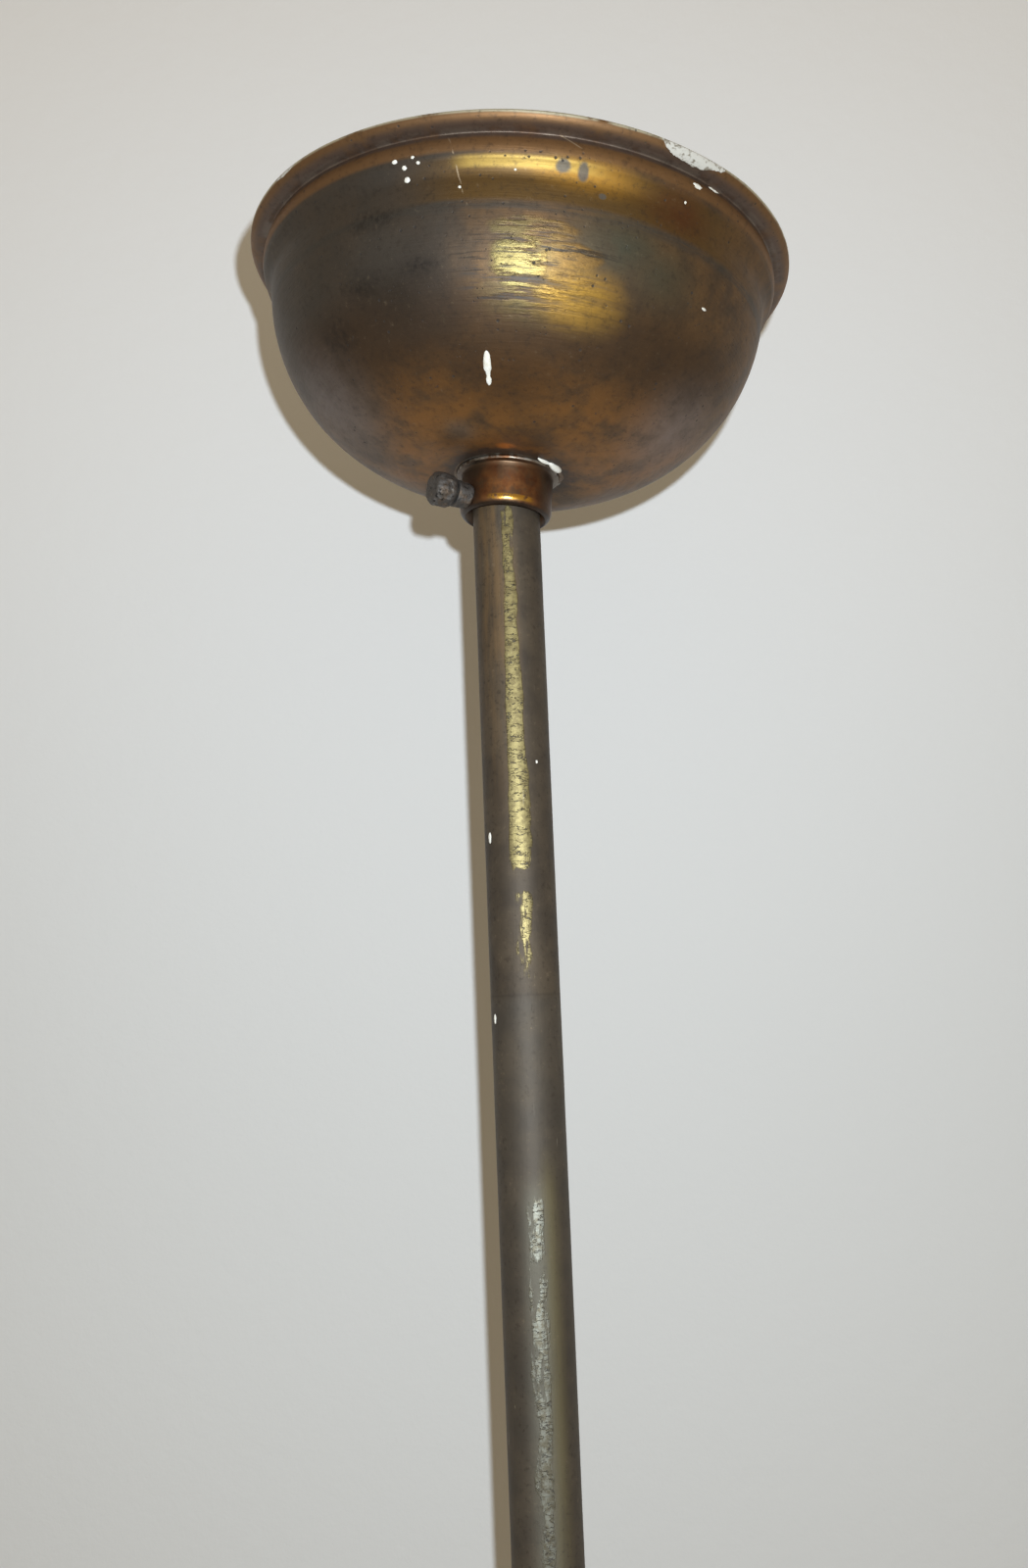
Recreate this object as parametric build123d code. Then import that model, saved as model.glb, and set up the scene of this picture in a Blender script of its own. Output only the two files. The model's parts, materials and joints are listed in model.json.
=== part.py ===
from build123d import *

# Ceiling suspension of a pendant light, in millimetres. A spun brass canopy with a turned neck
# is clamped by a thumb screw on a brass drop rod. The rod hangs from a ceiling plate through two
# crossed pins, so it can find plumb. Its lower end is a hollow nipple for a lampholder or lantern.
#
# Frame: +Z up, origin on the ceiling plane at the centre of the ceiling plate's back face.
# The rod hangs along -Z.
#
# Threads are plain cylinders at their major diameter.

import os
from math import cos, pi, radians, sin, tan

# --- driving dimensions ---------------------------------------------------------------------

ROD_DIAMETER = 15.9
ROD_WALL = 1.2
ROD_LENGTH = 457.0

RIM_RADIUS = 65.5
WALL = 0.9
LIP_DEPTH = 2.6
LIP_WIDTH = 3.7
LIP_BULGE = 0.72
CREASE = 0.3
BEAD_RADIUS = 62.1
BEAD_BOTTOM_RADIUS = 61.4
BEAD_BOTTOM_DEPTH = 8.3
BOWL_TOP_DEPTH = 12.5
EQUATOR_DEPTH = 8.2
BOWL_RADIUS = 59.6
BOWL_DEPTH = 47.6
BOWL_POWER = 2.2
DISH_RADIUS = 26.0
DISH_DEPTH = 3.7
NECK_HOLE_RADIUS = 10.2

FLANGE_RADIUS = 12.2
FLANGE_THICKNESS = 1.0
NECK_RADIUS = 10.9
NECK_BORE_RADIUS = 9.5
NECK_LENGTH = 11.6
NECK_NOSE = 2.0
SPUN_LIP_RADIUS = 11.6
BOSS_RADIUS = 3.2
BOSS_REACH = 3.5

SCREW_BELOW_FLANGE = 8.4
SCREW_RADIUS = 2.0
SCREW_HEAD_RADIUS = 4.3
SCREW_HEAD_LENGTH = 5.4
SCREW_NECK_GAP = 3.9

# The neck is a loose fit on the rod, and the thumb screw presses from one side only, so the
# clamped canopy leans away from the screw.
SCREW_AZIMUTH = 212.0
CANOPY_LEAN = 6.2
RIM_TO_CEILING = 0.4

PLATE_RADIUS = 35.0
PLATE_THICKNESS = 3.0
PLATE_HOLE_CIRCLE = 54.0
PLATE_HOLE_RADIUS = 2.4
PLATE_HOLES = 3
CABLE_HOLE_RADIUS = 6.0
CABLE_HOLE_OFFSET = 24.0
GROMMET_BORE_RADIUS = 4.0
EARTH_SCREW_PLACE = (22.0, 12.0)
EARTH_SCREW_RADIUS = 2.0
RIVET_RADIUS = 1.6
RIVET_Y = 11.5

STRAP_THICKNESS = 2.5
STRAP_WIDTH = 13.0
EAR_GAP = 13.0
PIN_RADIUS = 3.0
PIN_CLEARANCE = 0.06
PIN_DROP = 13.0
PIN_SPACING = 15.0
PIN_HEAD = 1.8
PIN_TAIL = 4.0
SPLIT_PIN_RADIUS = 0.7
SPLIT_PIN_OFFSET = 2.2
SPLIT_PIN_SPREAD = 35.0
LINK_WIDTH = 12.0
LINK_THICKNESS = 12.4
LINK_END = 6.2

FORK_GAP = 13.0
FORK_ARM = 3.0
FORK_BOSS_RADIUS = 9.6
FORK_BOSS_HEIGHT = 7.0
FORK_STOP = 7.9
WIRE_SLOT_WIDTH = 7.0
WIRE_SLOT_DEPTH = 5.0
THREAD_RADIUS = 5.0
WIREWAY_RADIUS = 3.25
NUT_ACROSS_FLATS = 16.0
NUT_THICKNESS = 3.2
FERRULE_SHOULDER = 2.0
FERRULE_DEPTH = 12.0
NIPPLE_LENGTH = 27.0
NIPPLE_ENGAGED = 10.0
THREAD_RELIEF_RADIUS = 4.5
THREAD_RELIEF_WIDTH = 1.0
FIT = 0.05

# --- derived levels and radii ---------------------------------------------------------------

ROD_RADIUS = ROD_DIAMETER / 2
ROD_BORE_RADIUS = ROD_RADIUS - ROD_WALL
SCREW_TIP_X = ROD_RADIUS / cos(radians(CANOPY_LEAN)) + SCREW_RADIUS * tan(radians(CANOPY_LEAN)) + FIT

STRAP_SPAN = EAR_GAP + 2 * STRAP_THICKNESS
FORK_SPAN = FORK_GAP + 2 * FORK_ARM

UPPER_PIN_Z = -PIN_DROP
LOWER_PIN_Z = UPPER_PIN_Z - PIN_SPACING
BOSS_TOP_Z = LOWER_PIN_Z - FORK_STOP
BOSS_BASE_Z = BOSS_TOP_Z - FORK_BOSS_HEIGHT
ROD_TOP_Z = BOSS_BASE_Z - NUT_THICKNESS - FERRULE_SHOULDER
ROD_END_Z = ROD_TOP_Z - ROD_LENGTH
FERRULE_END_Z = ROD_END_Z - FERRULE_SHOULDER


def bowl_depth_at(radius, inset=0.0):
    """Depth below the rim of the bowl at a radius, or of the same curve inset.

    The bowl is a superellipse, pushed up inside DISH_RADIUS so that its bottom is nearly flat.
    """
    share = (radius / (BOWL_RADIUS - inset)) ** BOWL_POWER
    dish = DISH_DEPTH * max(0.0, 1 - (radius / DISH_RADIUS) ** 2) ** 2
    return EQUATOR_DEPTH + (BOWL_DEPTH - inset) * (1 - share) ** (1 / BOWL_POWER) - dish


def bowl_radius_at(depth, inset=0.0):
    """Radius of the bowl's side at a depth above its dished bottom."""
    share = ((depth - EQUATOR_DEPTH) / (BOWL_DEPTH - inset)) ** BOWL_POWER
    return (BOWL_RADIUS - inset) * (1 - share) ** (1 / BOWL_POWER)


FLANGE_TOP = bowl_depth_at(FLANGE_RADIUS) + 0.03

# The canopy turns about the point of the rod's axis that the thumb screw points at. It hangs as
# high as its leaning rim lets it.
PIVOT_DEPTH = FLANGE_TOP + SCREW_BELOW_FLANGE
PIVOT_Z = -RIM_TO_CEILING - RIM_RADIUS * sin(radians(CANOPY_LEAN)) - PIVOT_DEPTH * cos(radians(CANOPY_LEAN))
CANOPY_TURN = Rot(0, 0, SCREW_AZIMUTH - 180) * Rot(0, CANOPY_LEAN, 0)
CANOPY_PLACE = Pos(0, 0, PIVOT_Z) * CANOPY_TURN * Pos(0, 0, PIVOT_DEPTH)

TOP = (Align.CENTER, Align.CENTER, Align.MAX)
BASE = (Align.CENTER, Align.CENTER, Align.MIN)


# --- helpers --------------------------------------------------------------------------------


def down_cylinder(radius, length, top_z=0.0):
    """A cylinder that hangs from top_z."""
    return Pos(0, 0, top_z) * Cylinder(radius, length, align=TOP)


def cross_pin(radius, length, level):
    """A cylinder along X, centred on the Z axis."""
    return Pos(0, 0, level) * Rot(0, 90, 0) * Cylinder(radius, length)


def ring(outer, inner, height, top_z=0.0):
    return down_cylinder(outer, height, top_z) - down_cylinder(inner, height, top_z)


def turned(outline):
    """A solid of revolution about Z from the edges of a closed outline in the XZ plane."""
    return revolve(make_face(outline), Axis.Z)


def xz(radius, z):
    return (radius, 0, z)


# --- canopy, in its own frame: rim plane at z = 0, opening upwards -----------------------------


def bowl_curve(inset=0.0):
    """The bowl's side from below the cove in to the neck hole, as one smooth curve."""
    steps = 14
    top_radius = bowl_radius_at(BOWL_TOP_DEPTH, inset)
    points = []
    for i in range(steps + 1):
        angle = (pi / 2) * i / steps
        radius = top_radius + (NECK_HOLE_RADIUS - top_radius) * (1 - cos(angle))
        points.append(xz(radius, -bowl_depth_at(radius, inset)))
    small = 0.01
    top_slope = (bowl_radius_at(BOWL_TOP_DEPTH + small, inset) - top_radius) / small
    end_depth = bowl_depth_at(NECK_HOLE_RADIUS, inset)
    end_slope = (bowl_depth_at(NECK_HOLE_RADIUS + small, inset) - end_depth) / small
    return Spline(points, tangents=[(top_slope, 0, -1), (-1, 0, end_slope)])


def canopy_dome():
    """Spun shell: quarter-round lip at the ceiling, crease, low bead, cove and deep bowl."""
    lip_in = RIM_RADIUS - LIP_WIDTH
    bead_top = xz(lip_in - CREASE, -LIP_DEPTH - CREASE)
    bead_bottom = xz(BEAD_BOTTOM_RADIUS, -BEAD_BOTTOM_DEPTH)
    bead_middle = xz(BEAD_RADIUS, -(LIP_DEPTH + BEAD_BOTTOM_DEPTH) / 2)
    outer_bowl = bowl_curve()
    inner_bowl = bowl_curve(WALL)
    outer_lip = ThreePointArc(
        xz(RIM_RADIUS, 0),
        xz(lip_in + LIP_WIDTH * LIP_BULGE, -LIP_DEPTH * LIP_BULGE),
        xz(lip_in, -LIP_DEPTH),
    )
    inner_bead_top = xz(lip_in - CREASE - WALL, -LIP_DEPTH + WALL / 2)
    inner_bead_bottom = xz(BEAD_BOTTOM_RADIUS - WALL, -BEAD_BOTTOM_DEPTH + WALL / 2)
    inner_lip = ThreePointArc(
        inner_bead_top,
        xz(lip_in + (LIP_WIDTH - WALL) * LIP_BULGE - WALL / 2, -LIP_DEPTH * LIP_BULGE + WALL),
        xz(RIM_RADIUS - WALL, 0),
    )
    outline = [
        outer_lip,
        Line(xz(lip_in, -LIP_DEPTH), bead_top),
        ThreePointArc(bead_top, bead_middle, bead_bottom),
        TangentArc(outer_bowl @ 0, bead_bottom, tangent=(outer_bowl % 0) * -1),
        outer_bowl,
        Line(outer_bowl @ 1, inner_bowl @ 1),
        inner_bowl,
        TangentArc(inner_bowl @ 0, inner_bead_bottom, tangent=(inner_bowl % 0) * -1),
        Line(inner_bead_bottom, inner_bead_top),
        inner_lip,
        Line(xz(RIM_RADIUS - WALL, 0), xz(RIM_RADIUS, 0)),
    ]
    return turned(outline)


def canopy_neck():
    """Turned neck: flange under the bowl, spun-over lip inside it, round nose, screw hole."""
    spigot = NECK_HOLE_RADIUS - FIT
    lip_thickness = 0.8
    inside = bowl_depth_at(NECK_HOLE_RADIUS, WALL) - 0.06
    lip_top = lip_thickness - inside
    body = down_cylinder(NECK_RADIUS, NECK_LENGTH, -FLANGE_TOP)
    nose_edge = body.edges().filter_by(GeomType.CIRCLE).sort_by(Axis.Z)[0]
    body = fillet(nose_edge, NECK_NOSE)
    flange = down_cylinder(FLANGE_RADIUS, FLANGE_THICKNESS, -FLANGE_TOP)
    flange = fillet(flange.edges().filter_by(GeomType.CIRCLE), 0.35)
    stem = down_cylinder(spigot, FLANGE_TOP + lip_top, lip_top)
    lip = down_cylinder(SPUN_LIP_RADIUS, lip_thickness, lip_top)
    neck = body + flange + stem + lip
    neck -= down_cylinder(NECK_BORE_RADIUS, FLANGE_TOP + NECK_LENGTH + lip_top, lip_top)
    hole = Pos(-NECK_RADIUS, 0, -FLANGE_TOP - SCREW_BELOW_FLANGE)
    hole_length = 2 * (NECK_RADIUS - NECK_BORE_RADIUS) + 4
    return neck - hole * Rot(0, 90, 0) * Cylinder(SCREW_RADIUS + FIT, hole_length)


def screw_boss():
    """Boss brazed to the neck's left, which gives the thumb screw its length of thread."""
    reach = NECK_RADIUS + BOSS_REACH
    boss = Rot(0, -90, 0) * Cylinder(BOSS_RADIUS, reach, align=BASE)
    boss = chamfer(boss.edges().filter_by(GeomType.CIRCLE).sort_by(Axis.X)[0], 0.6)
    boss -= Rot(0, -90, 0) * Cylinder(SCREW_RADIUS + FIT, reach, align=BASE)
    return Pos(0, 0, -FLANGE_TOP - SCREW_BELOW_FLANGE) * (boss - Cylinder(NECK_RADIUS + FIT, 4 * BOSS_RADIUS))


def neck_solder():
    """Soft-solder fillet between the flange and the bowl."""
    reach = 1.6
    top = bowl_depth_at(FLANGE_RADIUS + reach) + FIT
    inner_top = bowl_depth_at(FLANGE_RADIUS) + FIT
    corners = [
        xz(FLANGE_RADIUS + 0.02, -inner_top),
        xz(FLANGE_RADIUS + reach, -top),
        xz(FLANGE_RADIUS + 0.02, -FLANGE_TOP - 0.6),
    ]
    return turned([Polyline(*corners, close=True)])


def thumb_screw():
    """Round head and threaded shank along -X, its tip on the rod."""
    shank_length = NECK_RADIUS + SCREW_NECK_GAP - SCREW_TIP_X
    shank = Cylinder(SCREW_RADIUS, shank_length, align=BASE)
    shank = chamfer(shank.edges().filter_by(GeomType.CIRCLE).sort_by(Axis.Z)[0], 0.6)
    head = Cylinder(SCREW_HEAD_RADIUS, SCREW_HEAD_LENGTH, align=BASE)
    head = chamfer(head.edges().filter_by(GeomType.CIRCLE), 0.5)
    screw = shank + Pos(0, 0, shank_length) * head
    return Pos(-SCREW_TIP_X, 0, -FLANGE_TOP - SCREW_BELOW_FLANGE) * Rot(0, -90, 0) * screw


# --- ceiling hanger -----------------------------------------------------------------------------


def ceiling_plate():
    """Disc with three countersunk screw holes, two rivet holes and an off-centre cable hole."""
    plate = down_cylinder(PLATE_RADIUS, PLATE_THICKNESS)
    plate = chamfer(plate.edges().filter_by(GeomType.CIRCLE).sort_by(Axis.Z)[0], 0.6)
    sink = Cone(PLATE_HOLE_RADIUS + 2.0, PLATE_HOLE_RADIUS, 1.8, align=BASE)
    for i in range(PLATE_HOLES):
        place = Rot(0, 0, 90 + 360 * i / PLATE_HOLES) * Pos(PLATE_HOLE_CIRCLE / 2, 0, 0)
        plate -= place * down_cylinder(PLATE_HOLE_RADIUS, PLATE_THICKNESS)
        plate -= place * Pos(0, 0, -PLATE_THICKNESS) * sink
    plate -= Pos(0, -CABLE_HOLE_OFFSET, 0) * down_cylinder(CABLE_HOLE_RADIUS, PLATE_THICKNESS)
    plate -= Pos(*EARTH_SCREW_PLACE, 0) * down_cylinder(EARTH_SCREW_RADIUS + FIT, PLATE_THICKNESS)
    return plate - rivet_places(down_cylinder(RIVET_RADIUS + FIT, PLATE_THICKNESS))


def cable_grommet():
    """Rubber grommet: a waist in the plate's cable hole and a round flange below it."""
    waist = down_cylinder(CABLE_HOLE_RADIUS - FIT, PLATE_THICKNESS + 0.5)
    flange = down_cylinder(CABLE_HOLE_RADIUS + 2.2, 2.2, -PLATE_THICKNESS - FIT)
    flange = fillet(flange.edges().filter_by(GeomType.CIRCLE), 0.9)
    grommet = waist + flange - down_cylinder(GROMMET_BORE_RADIUS, 10)
    return Pos(0, -CABLE_HOLE_OFFSET, 0) * grommet


def earth_screw():
    """Slotted cheese-head earth screw with its square clamp washer, in the ceiling plate."""
    washer = Pos(0, 0, -PLATE_THICKNESS - FIT) * Box(8.5, 8.5, 1.2, align=TOP)
    head = down_cylinder(3.5, 2.6, -PLATE_THICKNESS - FIT - 1.0)
    head_edge = head.edges().filter_by(GeomType.CIRCLE).sort_by(Axis.Z)[0]
    head = fillet(head_edge, 0.4)
    screw = head + washer + down_cylinder(EARTH_SCREW_RADIUS, PLATE_THICKNESS + 0.5, -0.2)
    screw -= Pos(0, 0, -PLATE_THICKNESS - FIT - 3.6) * Box(10, 1.0, 2.4, align=(Align.CENTER,) * 3)
    return Pos(*EARTH_SCREW_PLACE, 0) * screw


def rivet_places(thing):
    return [Pos(0, y, 0) * thing for y in (-RIVET_Y, RIVET_Y)]


def hanger_strap():
    """U-shaped iron strap: a base plate on the ceiling plate, and two ears for the upper pin."""
    base_length = 2 * RIVET_Y + 8
    base = Pos(0, 0, -PLATE_THICKNESS) * Box(EAR_GAP, base_length, STRAP_THICKNESS, align=TOP)
    ear_drop = PIN_DROP - PLATE_THICKNESS
    ear = Box(STRAP_THICKNESS, STRAP_WIDTH, ear_drop, align=TOP)
    ear += Pos(0, 0, -ear_drop) * Rot(0, 90, 0) * Cylinder(STRAP_WIDTH / 2, STRAP_THICKNESS)
    strap = base
    for side in (-1, 1):
        strap += Pos(side * (EAR_GAP + STRAP_THICKNESS) / 2, 0, -PLATE_THICKNESS) * ear
    strap -= cross_pin(PIN_RADIUS + PIN_CLEARANCE, 2 * EAR_GAP + 10, UPPER_PIN_Z)
    return strap - rivet_places(down_cylinder(RIVET_RADIUS + FIT, 20))


def strap_rivets():
    """Two round-head rivets that hold the strap to the ceiling plate, flush at the back."""
    length = PLATE_THICKNESS + STRAP_THICKNESS
    head_radius = 3.0
    rivet = down_cylinder(RIVET_RADIUS, length - 0.1, -0.1)
    dome = Pos(0, 0, -length - FIT) * Sphere(head_radius)
    dome &= down_cylinder(head_radius, 2.0, -length - FIT)
    rivet += dome + down_cylinder(RIVET_RADIUS, 0.5, -length + 0.2)
    return Compound(children=rivet_places(rivet))


def clevis_pin(span, level):
    """Headed pin along X through two ears that are span apart outside, cross-drilled at its tail."""
    shank = Cylinder(PIN_RADIUS, span + PIN_TAIL + PIN_HEAD / 2, align=BASE)
    shank = Pos(span / 2 + PIN_TAIL, 0, level) * Rot(0, -90, 0) * shank
    head_place = Pos(-span / 2 - FIT, 0, level) * Rot(0, -90, 0)
    pin = shank + head_place * Cylinder(PIN_RADIUS + 1.5, PIN_HEAD, align=BASE)
    tail_edge = pin.edges().filter_by(GeomType.CIRCLE).sort_by(Axis.X)[-1]
    pin = chamfer(tail_edge, 0.5)
    return pin - Pos(span / 2 + SPLIT_PIN_OFFSET, 0, level) * Cylinder(SPLIT_PIN_RADIUS + FIT, 20)


def split_pin(span, level):
    """Split pin with a round eye on top and two legs that are spread below the clevis pin."""
    leg = Cylinder(SPLIT_PIN_RADIUS, 2 * PIN_RADIUS + 2.4)
    eye = Pos(0, 0, PIN_RADIUS + 2.2) * Rot(0, 0, 90) * Rot(90, 0, 0) * Torus(1.5, SPLIT_PIN_RADIUS)
    foot = Cylinder(SPLIT_PIN_RADIUS * 0.8, 3.2, align=TOP)
    pin = leg + eye
    for side in (-1, 1):
        pin += Pos(0, 0, -PIN_RADIUS - 1.0) * Rot(side * SPLIT_PIN_SPREAD, 0, 0) * foot
    return Pos(span / 2 + SPLIT_PIN_OFFSET, 0, level) * pin


def cross_link():
    """Short link with two bores at right angles. Its square ends stop the swing."""
    upper = Pos(0, 0, UPPER_PIN_Z) * Box(LINK_THICKNESS, LINK_WIDTH, 2 * LINK_END)
    lower = Pos(0, 0, LOWER_PIN_Z) * Box(LINK_WIDTH, LINK_THICKNESS, 2 * LINK_END)
    middle = (UPPER_PIN_Z + LOWER_PIN_Z) / 2
    waist = Pos(0, 0, middle) * Cylinder(LINK_WIDTH / 2, PIN_SPACING)
    link = upper + lower + waist
    link = chamfer(link.edges().filter_by(Axis.Z), 0.8)
    link -= cross_pin(PIN_RADIUS + PIN_CLEARANCE, 40, UPPER_PIN_Z)
    return link - Rot(0, 0, 90) * cross_pin(PIN_RADIUS + PIN_CLEARANCE, 40, LOWER_PIN_Z)


# --- drop rod -------------------------------------------------------------------------------------


def rod_fork():
    """Fork on a round boss with a hollow threaded stem. A slot across it lets the flex out."""
    boss = down_cylinder(FORK_BOSS_RADIUS, FORK_BOSS_HEIGHT, BOSS_TOP_Z)
    boss = chamfer(boss.edges().filter_by(GeomType.CIRCLE).sort_by(Axis.Z)[0], 0.8)
    arm_rise = LOWER_PIN_Z - BOSS_TOP_Z
    arm = Box(LINK_WIDTH, FORK_ARM, arm_rise, align=TOP)
    arm += Rot(90, 0, 0) * Cylinder(LINK_WIDTH / 2, FORK_ARM)
    fork = boss
    for side in (-1, 1):
        fork += Pos(0, side * (FORK_GAP + FORK_ARM) / 2, LOWER_PIN_Z) * arm
    stem_length = NUT_THICKNESS + FERRULE_SHOULDER + NIPPLE_ENGAGED - 1
    fork += down_cylinder(THREAD_RADIUS, stem_length, BOSS_BASE_Z)
    fork -= down_cylinder(WIREWAY_RADIUS, FORK_BOSS_HEIGHT + stem_length, BOSS_TOP_Z)
    slot_length = 2 * FORK_BOSS_RADIUS + 2
    fork -= Pos(0, 0, BOSS_TOP_Z) * Box(slot_length, WIRE_SLOT_WIDTH, WIRE_SLOT_DEPTH, align=TOP)
    return fork - Rot(0, 0, 90) * cross_pin(PIN_RADIUS + PIN_CLEARANCE, 40, LOWER_PIN_Z)


def hex_nut(top_z):
    """Thin hexagon lock nut with chamfered corners, run onto a threaded stem."""
    corner_radius = NUT_ACROSS_FLATS / 2 / cos(pi / 6)
    nut = extrude(RegularPolygon(corner_radius, 6), -NUT_THICKNESS)
    crown_height = 2.4
    crown = Cone(NUT_ACROSS_FLATS / 2 - 0.2, NUT_ACROSS_FLATS / 2 + 2.2, crown_height, align=BASE)
    crown = Pos(0, 0, -NUT_THICKNESS) * crown + down_cylinder(NUT_ACROSS_FLATS, NUT_THICKNESS - crown_height)
    nut &= crown
    nut -= down_cylinder(THREAD_RADIUS + FIT, NUT_THICKNESS)
    return Pos(0, 0, top_z) * nut


def ferrule():
    """Brass plug with a shoulder, brazed into an end of the rod. Its shoulder's face is at z = 0."""
    plug = down_cylinder(ROD_RADIUS, FERRULE_SHOULDER)
    plug = chamfer(plug.edges().filter_by(GeomType.CIRCLE).sort_by(Axis.Z)[-1], 0.5)
    plug += down_cylinder(ROD_BORE_RADIUS - FIT, FERRULE_SHOULDER + FERRULE_DEPTH)
    return plug - down_cylinder(THREAD_RADIUS + FIT, FERRULE_SHOULDER + FERRULE_DEPTH)


def down_rod():
    return ring(ROD_RADIUS, ROD_BORE_RADIUS, ROD_LENGTH, ROD_TOP_Z)


def lower_nipple():
    """Hollow threaded nipple. Below a relief groove at the lock nut, its thread is free."""
    nipple = ring(THREAD_RADIUS, WIREWAY_RADIUS, NIPPLE_LENGTH, FERRULE_END_Z + NIPPLE_ENGAGED)
    ends = nipple.edges().filter_by(GeomType.CIRCLE).filter_by(lambda e: e.radius > WIREWAY_RADIUS + 0.1)
    nipple = chamfer(ends, 0.4)
    relief_z = FERRULE_END_Z - NUT_THICKNESS
    return nipple - ring(THREAD_RADIUS + 1, THREAD_RELIEF_RADIUS, THREAD_RELIEF_WIDTH, relief_z)


# --- every piece, in place ------------------------------------------------------------------------

FLIP = Rot(180, 0, 0)
LOWER_TURN = Rot(0, 0, 90)

PIECES = {
    "ceiling_plate": ceiling_plate(),
    "hanger_strap": hanger_strap(),
    "strap_rivets": strap_rivets(),
    "cable_grommet": cable_grommet(),
    "earth_screw": earth_screw(),
    "upper_clevis_pin": clevis_pin(STRAP_SPAN, UPPER_PIN_Z),
    "upper_split_pin": split_pin(STRAP_SPAN, UPPER_PIN_Z),
    "cross_link": cross_link(),
    "rod_fork": rod_fork(),
    "lower_clevis_pin": LOWER_TURN * clevis_pin(FORK_SPAN, LOWER_PIN_Z),
    "lower_split_pin": LOWER_TURN * split_pin(FORK_SPAN, LOWER_PIN_Z),
    "upper_lock_nut": hex_nut(BOSS_BASE_Z),
    "upper_ferrule": Pos(0, 0, ROD_TOP_Z + FERRULE_SHOULDER) * ferrule(),
    "down_rod": down_rod(),
    "lower_ferrule": Pos(0, 0, FERRULE_END_Z) * FLIP * ferrule(),
    "lower_nipple": lower_nipple(),
    "lower_lock_nut": hex_nut(FERRULE_END_Z),
    "canopy_dome": CANOPY_PLACE * canopy_dome(),
    "canopy_neck": CANOPY_PLACE * canopy_neck(),
    "screw_boss": CANOPY_PLACE * screw_boss(),
    "neck_solder": CANOPY_PLACE * neck_solder(),
    "thumb_screw": CANOPY_PLACE * thumb_screw(),
}

os.makedirs("parts", exist_ok=True)
for name, shape in PIECES.items():
    export_step(shape, f"parts/{name}.step")
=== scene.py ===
"""Looks of a pendant light's ceiling suspension: an aged brass canopy, its neck and screw, a rod.

Lengths are in millimetres until they reach a mesh, which is in metres. Each turned piece has a
local frame with z up its own axis, x to the right as seen from the front (-Y) and y to the back.
Its mesh keeps its points in that frame in the attribute "local", which its material reads.
"""

import json
import math

import bpy
from mathutils import Matrix, Vector, noise


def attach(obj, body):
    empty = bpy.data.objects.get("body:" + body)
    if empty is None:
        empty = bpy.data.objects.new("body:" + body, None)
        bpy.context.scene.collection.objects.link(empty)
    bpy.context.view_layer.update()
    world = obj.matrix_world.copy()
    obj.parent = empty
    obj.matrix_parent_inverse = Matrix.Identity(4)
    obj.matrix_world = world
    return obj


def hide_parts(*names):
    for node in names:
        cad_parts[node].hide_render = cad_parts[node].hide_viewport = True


MM = 0.001
TURN = 2 * math.pi

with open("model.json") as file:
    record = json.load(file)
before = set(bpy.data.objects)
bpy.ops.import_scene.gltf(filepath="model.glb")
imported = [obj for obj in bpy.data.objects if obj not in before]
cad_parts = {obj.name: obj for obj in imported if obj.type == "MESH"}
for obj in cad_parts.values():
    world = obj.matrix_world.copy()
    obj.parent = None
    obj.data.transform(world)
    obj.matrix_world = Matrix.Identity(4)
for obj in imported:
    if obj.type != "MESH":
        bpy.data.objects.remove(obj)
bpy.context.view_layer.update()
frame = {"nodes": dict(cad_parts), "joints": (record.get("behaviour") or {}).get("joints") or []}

# --- driving dimensions, as in the CAD ---

RIM_RADIUS = 65.5
WALL = 0.9
LIP_DEPTH = 2.6
LIP_WIDTH = 3.7
CREASE = 0.3
BEAD_BULGE = 0.65
BEAD_BOTTOM_RADIUS = 61.4
BEAD_BOTTOM_DEPTH = 8.3
BOWL_TOP_DEPTH = 12.5
EQUATOR_DEPTH = 8.2
BOWL_RADIUS = 59.6
BOWL_DEPTH = 47.6
BOWL_POWER = 2.2
DISH_RADIUS = 26.0
DISH_DEPTH = 3.7
NECK_HOLE_RADIUS = 10.2

FLANGE_THICKNESS = 1.0
FLANGE_WIDTH = 1.3
NECK_LIP_WIDTH = 1.3
NECK_NOSE = 2.0
NECK_BORE_RADIUS = 9.5
SCREW_HEAD_LENGTH = 5.4
SCREW_RADIUS = 2.0
SCREW_PITCH = 0.7
ROD_WALL = 1.2
NIPPLE_PITCH = 1.0
THREAD_DEPTH = 0.55  # in pitches
THREAD_RELIEF_WIDTH = 1.0
THREAD_RELIEF_RADIUS = 4.5
WIREWAY_RADIUS = 3.25

SEAM = 0.03  # between pieces that touch
CLEARANCE = 0.06  # round a piece in its hole
DOME_DENT = 0.16  # how far the dented dome lies inside its smooth outline, on average


# --- places, read from the frame ---


def joint(name):
    """The frame's joint of that name."""
    return next(j for j in frame["joints"] if j["name"] == name)


def points_of(node):
    """Places of a CAD node's vertices, in metres."""
    return [vertex.co for vertex in frame["nodes"][node].data.vertices]


def local_frame(origin, up):
    """The matrix of a local frame in millimetres, with x as far to the right as up allows."""
    up = up.normalized()
    right = (Vector((1, 0, 0)) - up * up.x).normalized()
    back = up.cross(right)
    axes = Matrix((right, back, up)).transposed().to_4x4()
    return Matrix.Translation(origin) @ axes @ Matrix.Scale(MM, 4)


def span_in(place, node):
    """Lowest and highest local z of a node, and its largest radius about z, in millimetres."""
    back = place.inverted()
    local = [back @ p for p in points_of(node)]
    heights = [p.z for p in local]
    return min(heights), max(heights), max(math.hypot(p.x, p.y) for p in local)


screw_out = Vector(joint("thumb_screw_travel")["axis"]).normalized()
canopy_up = Vector((0, 0, 1)) - screw_out * screw_out.z
screw_points = points_of("thumb_screw")
screw_middle = sum(screw_points, Vector()) / len(screw_points)
along = screw_middle.xy.dot(screw_out.xy) / screw_out.xy.length_squared
pivot = screw_middle - screw_out * along

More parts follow.
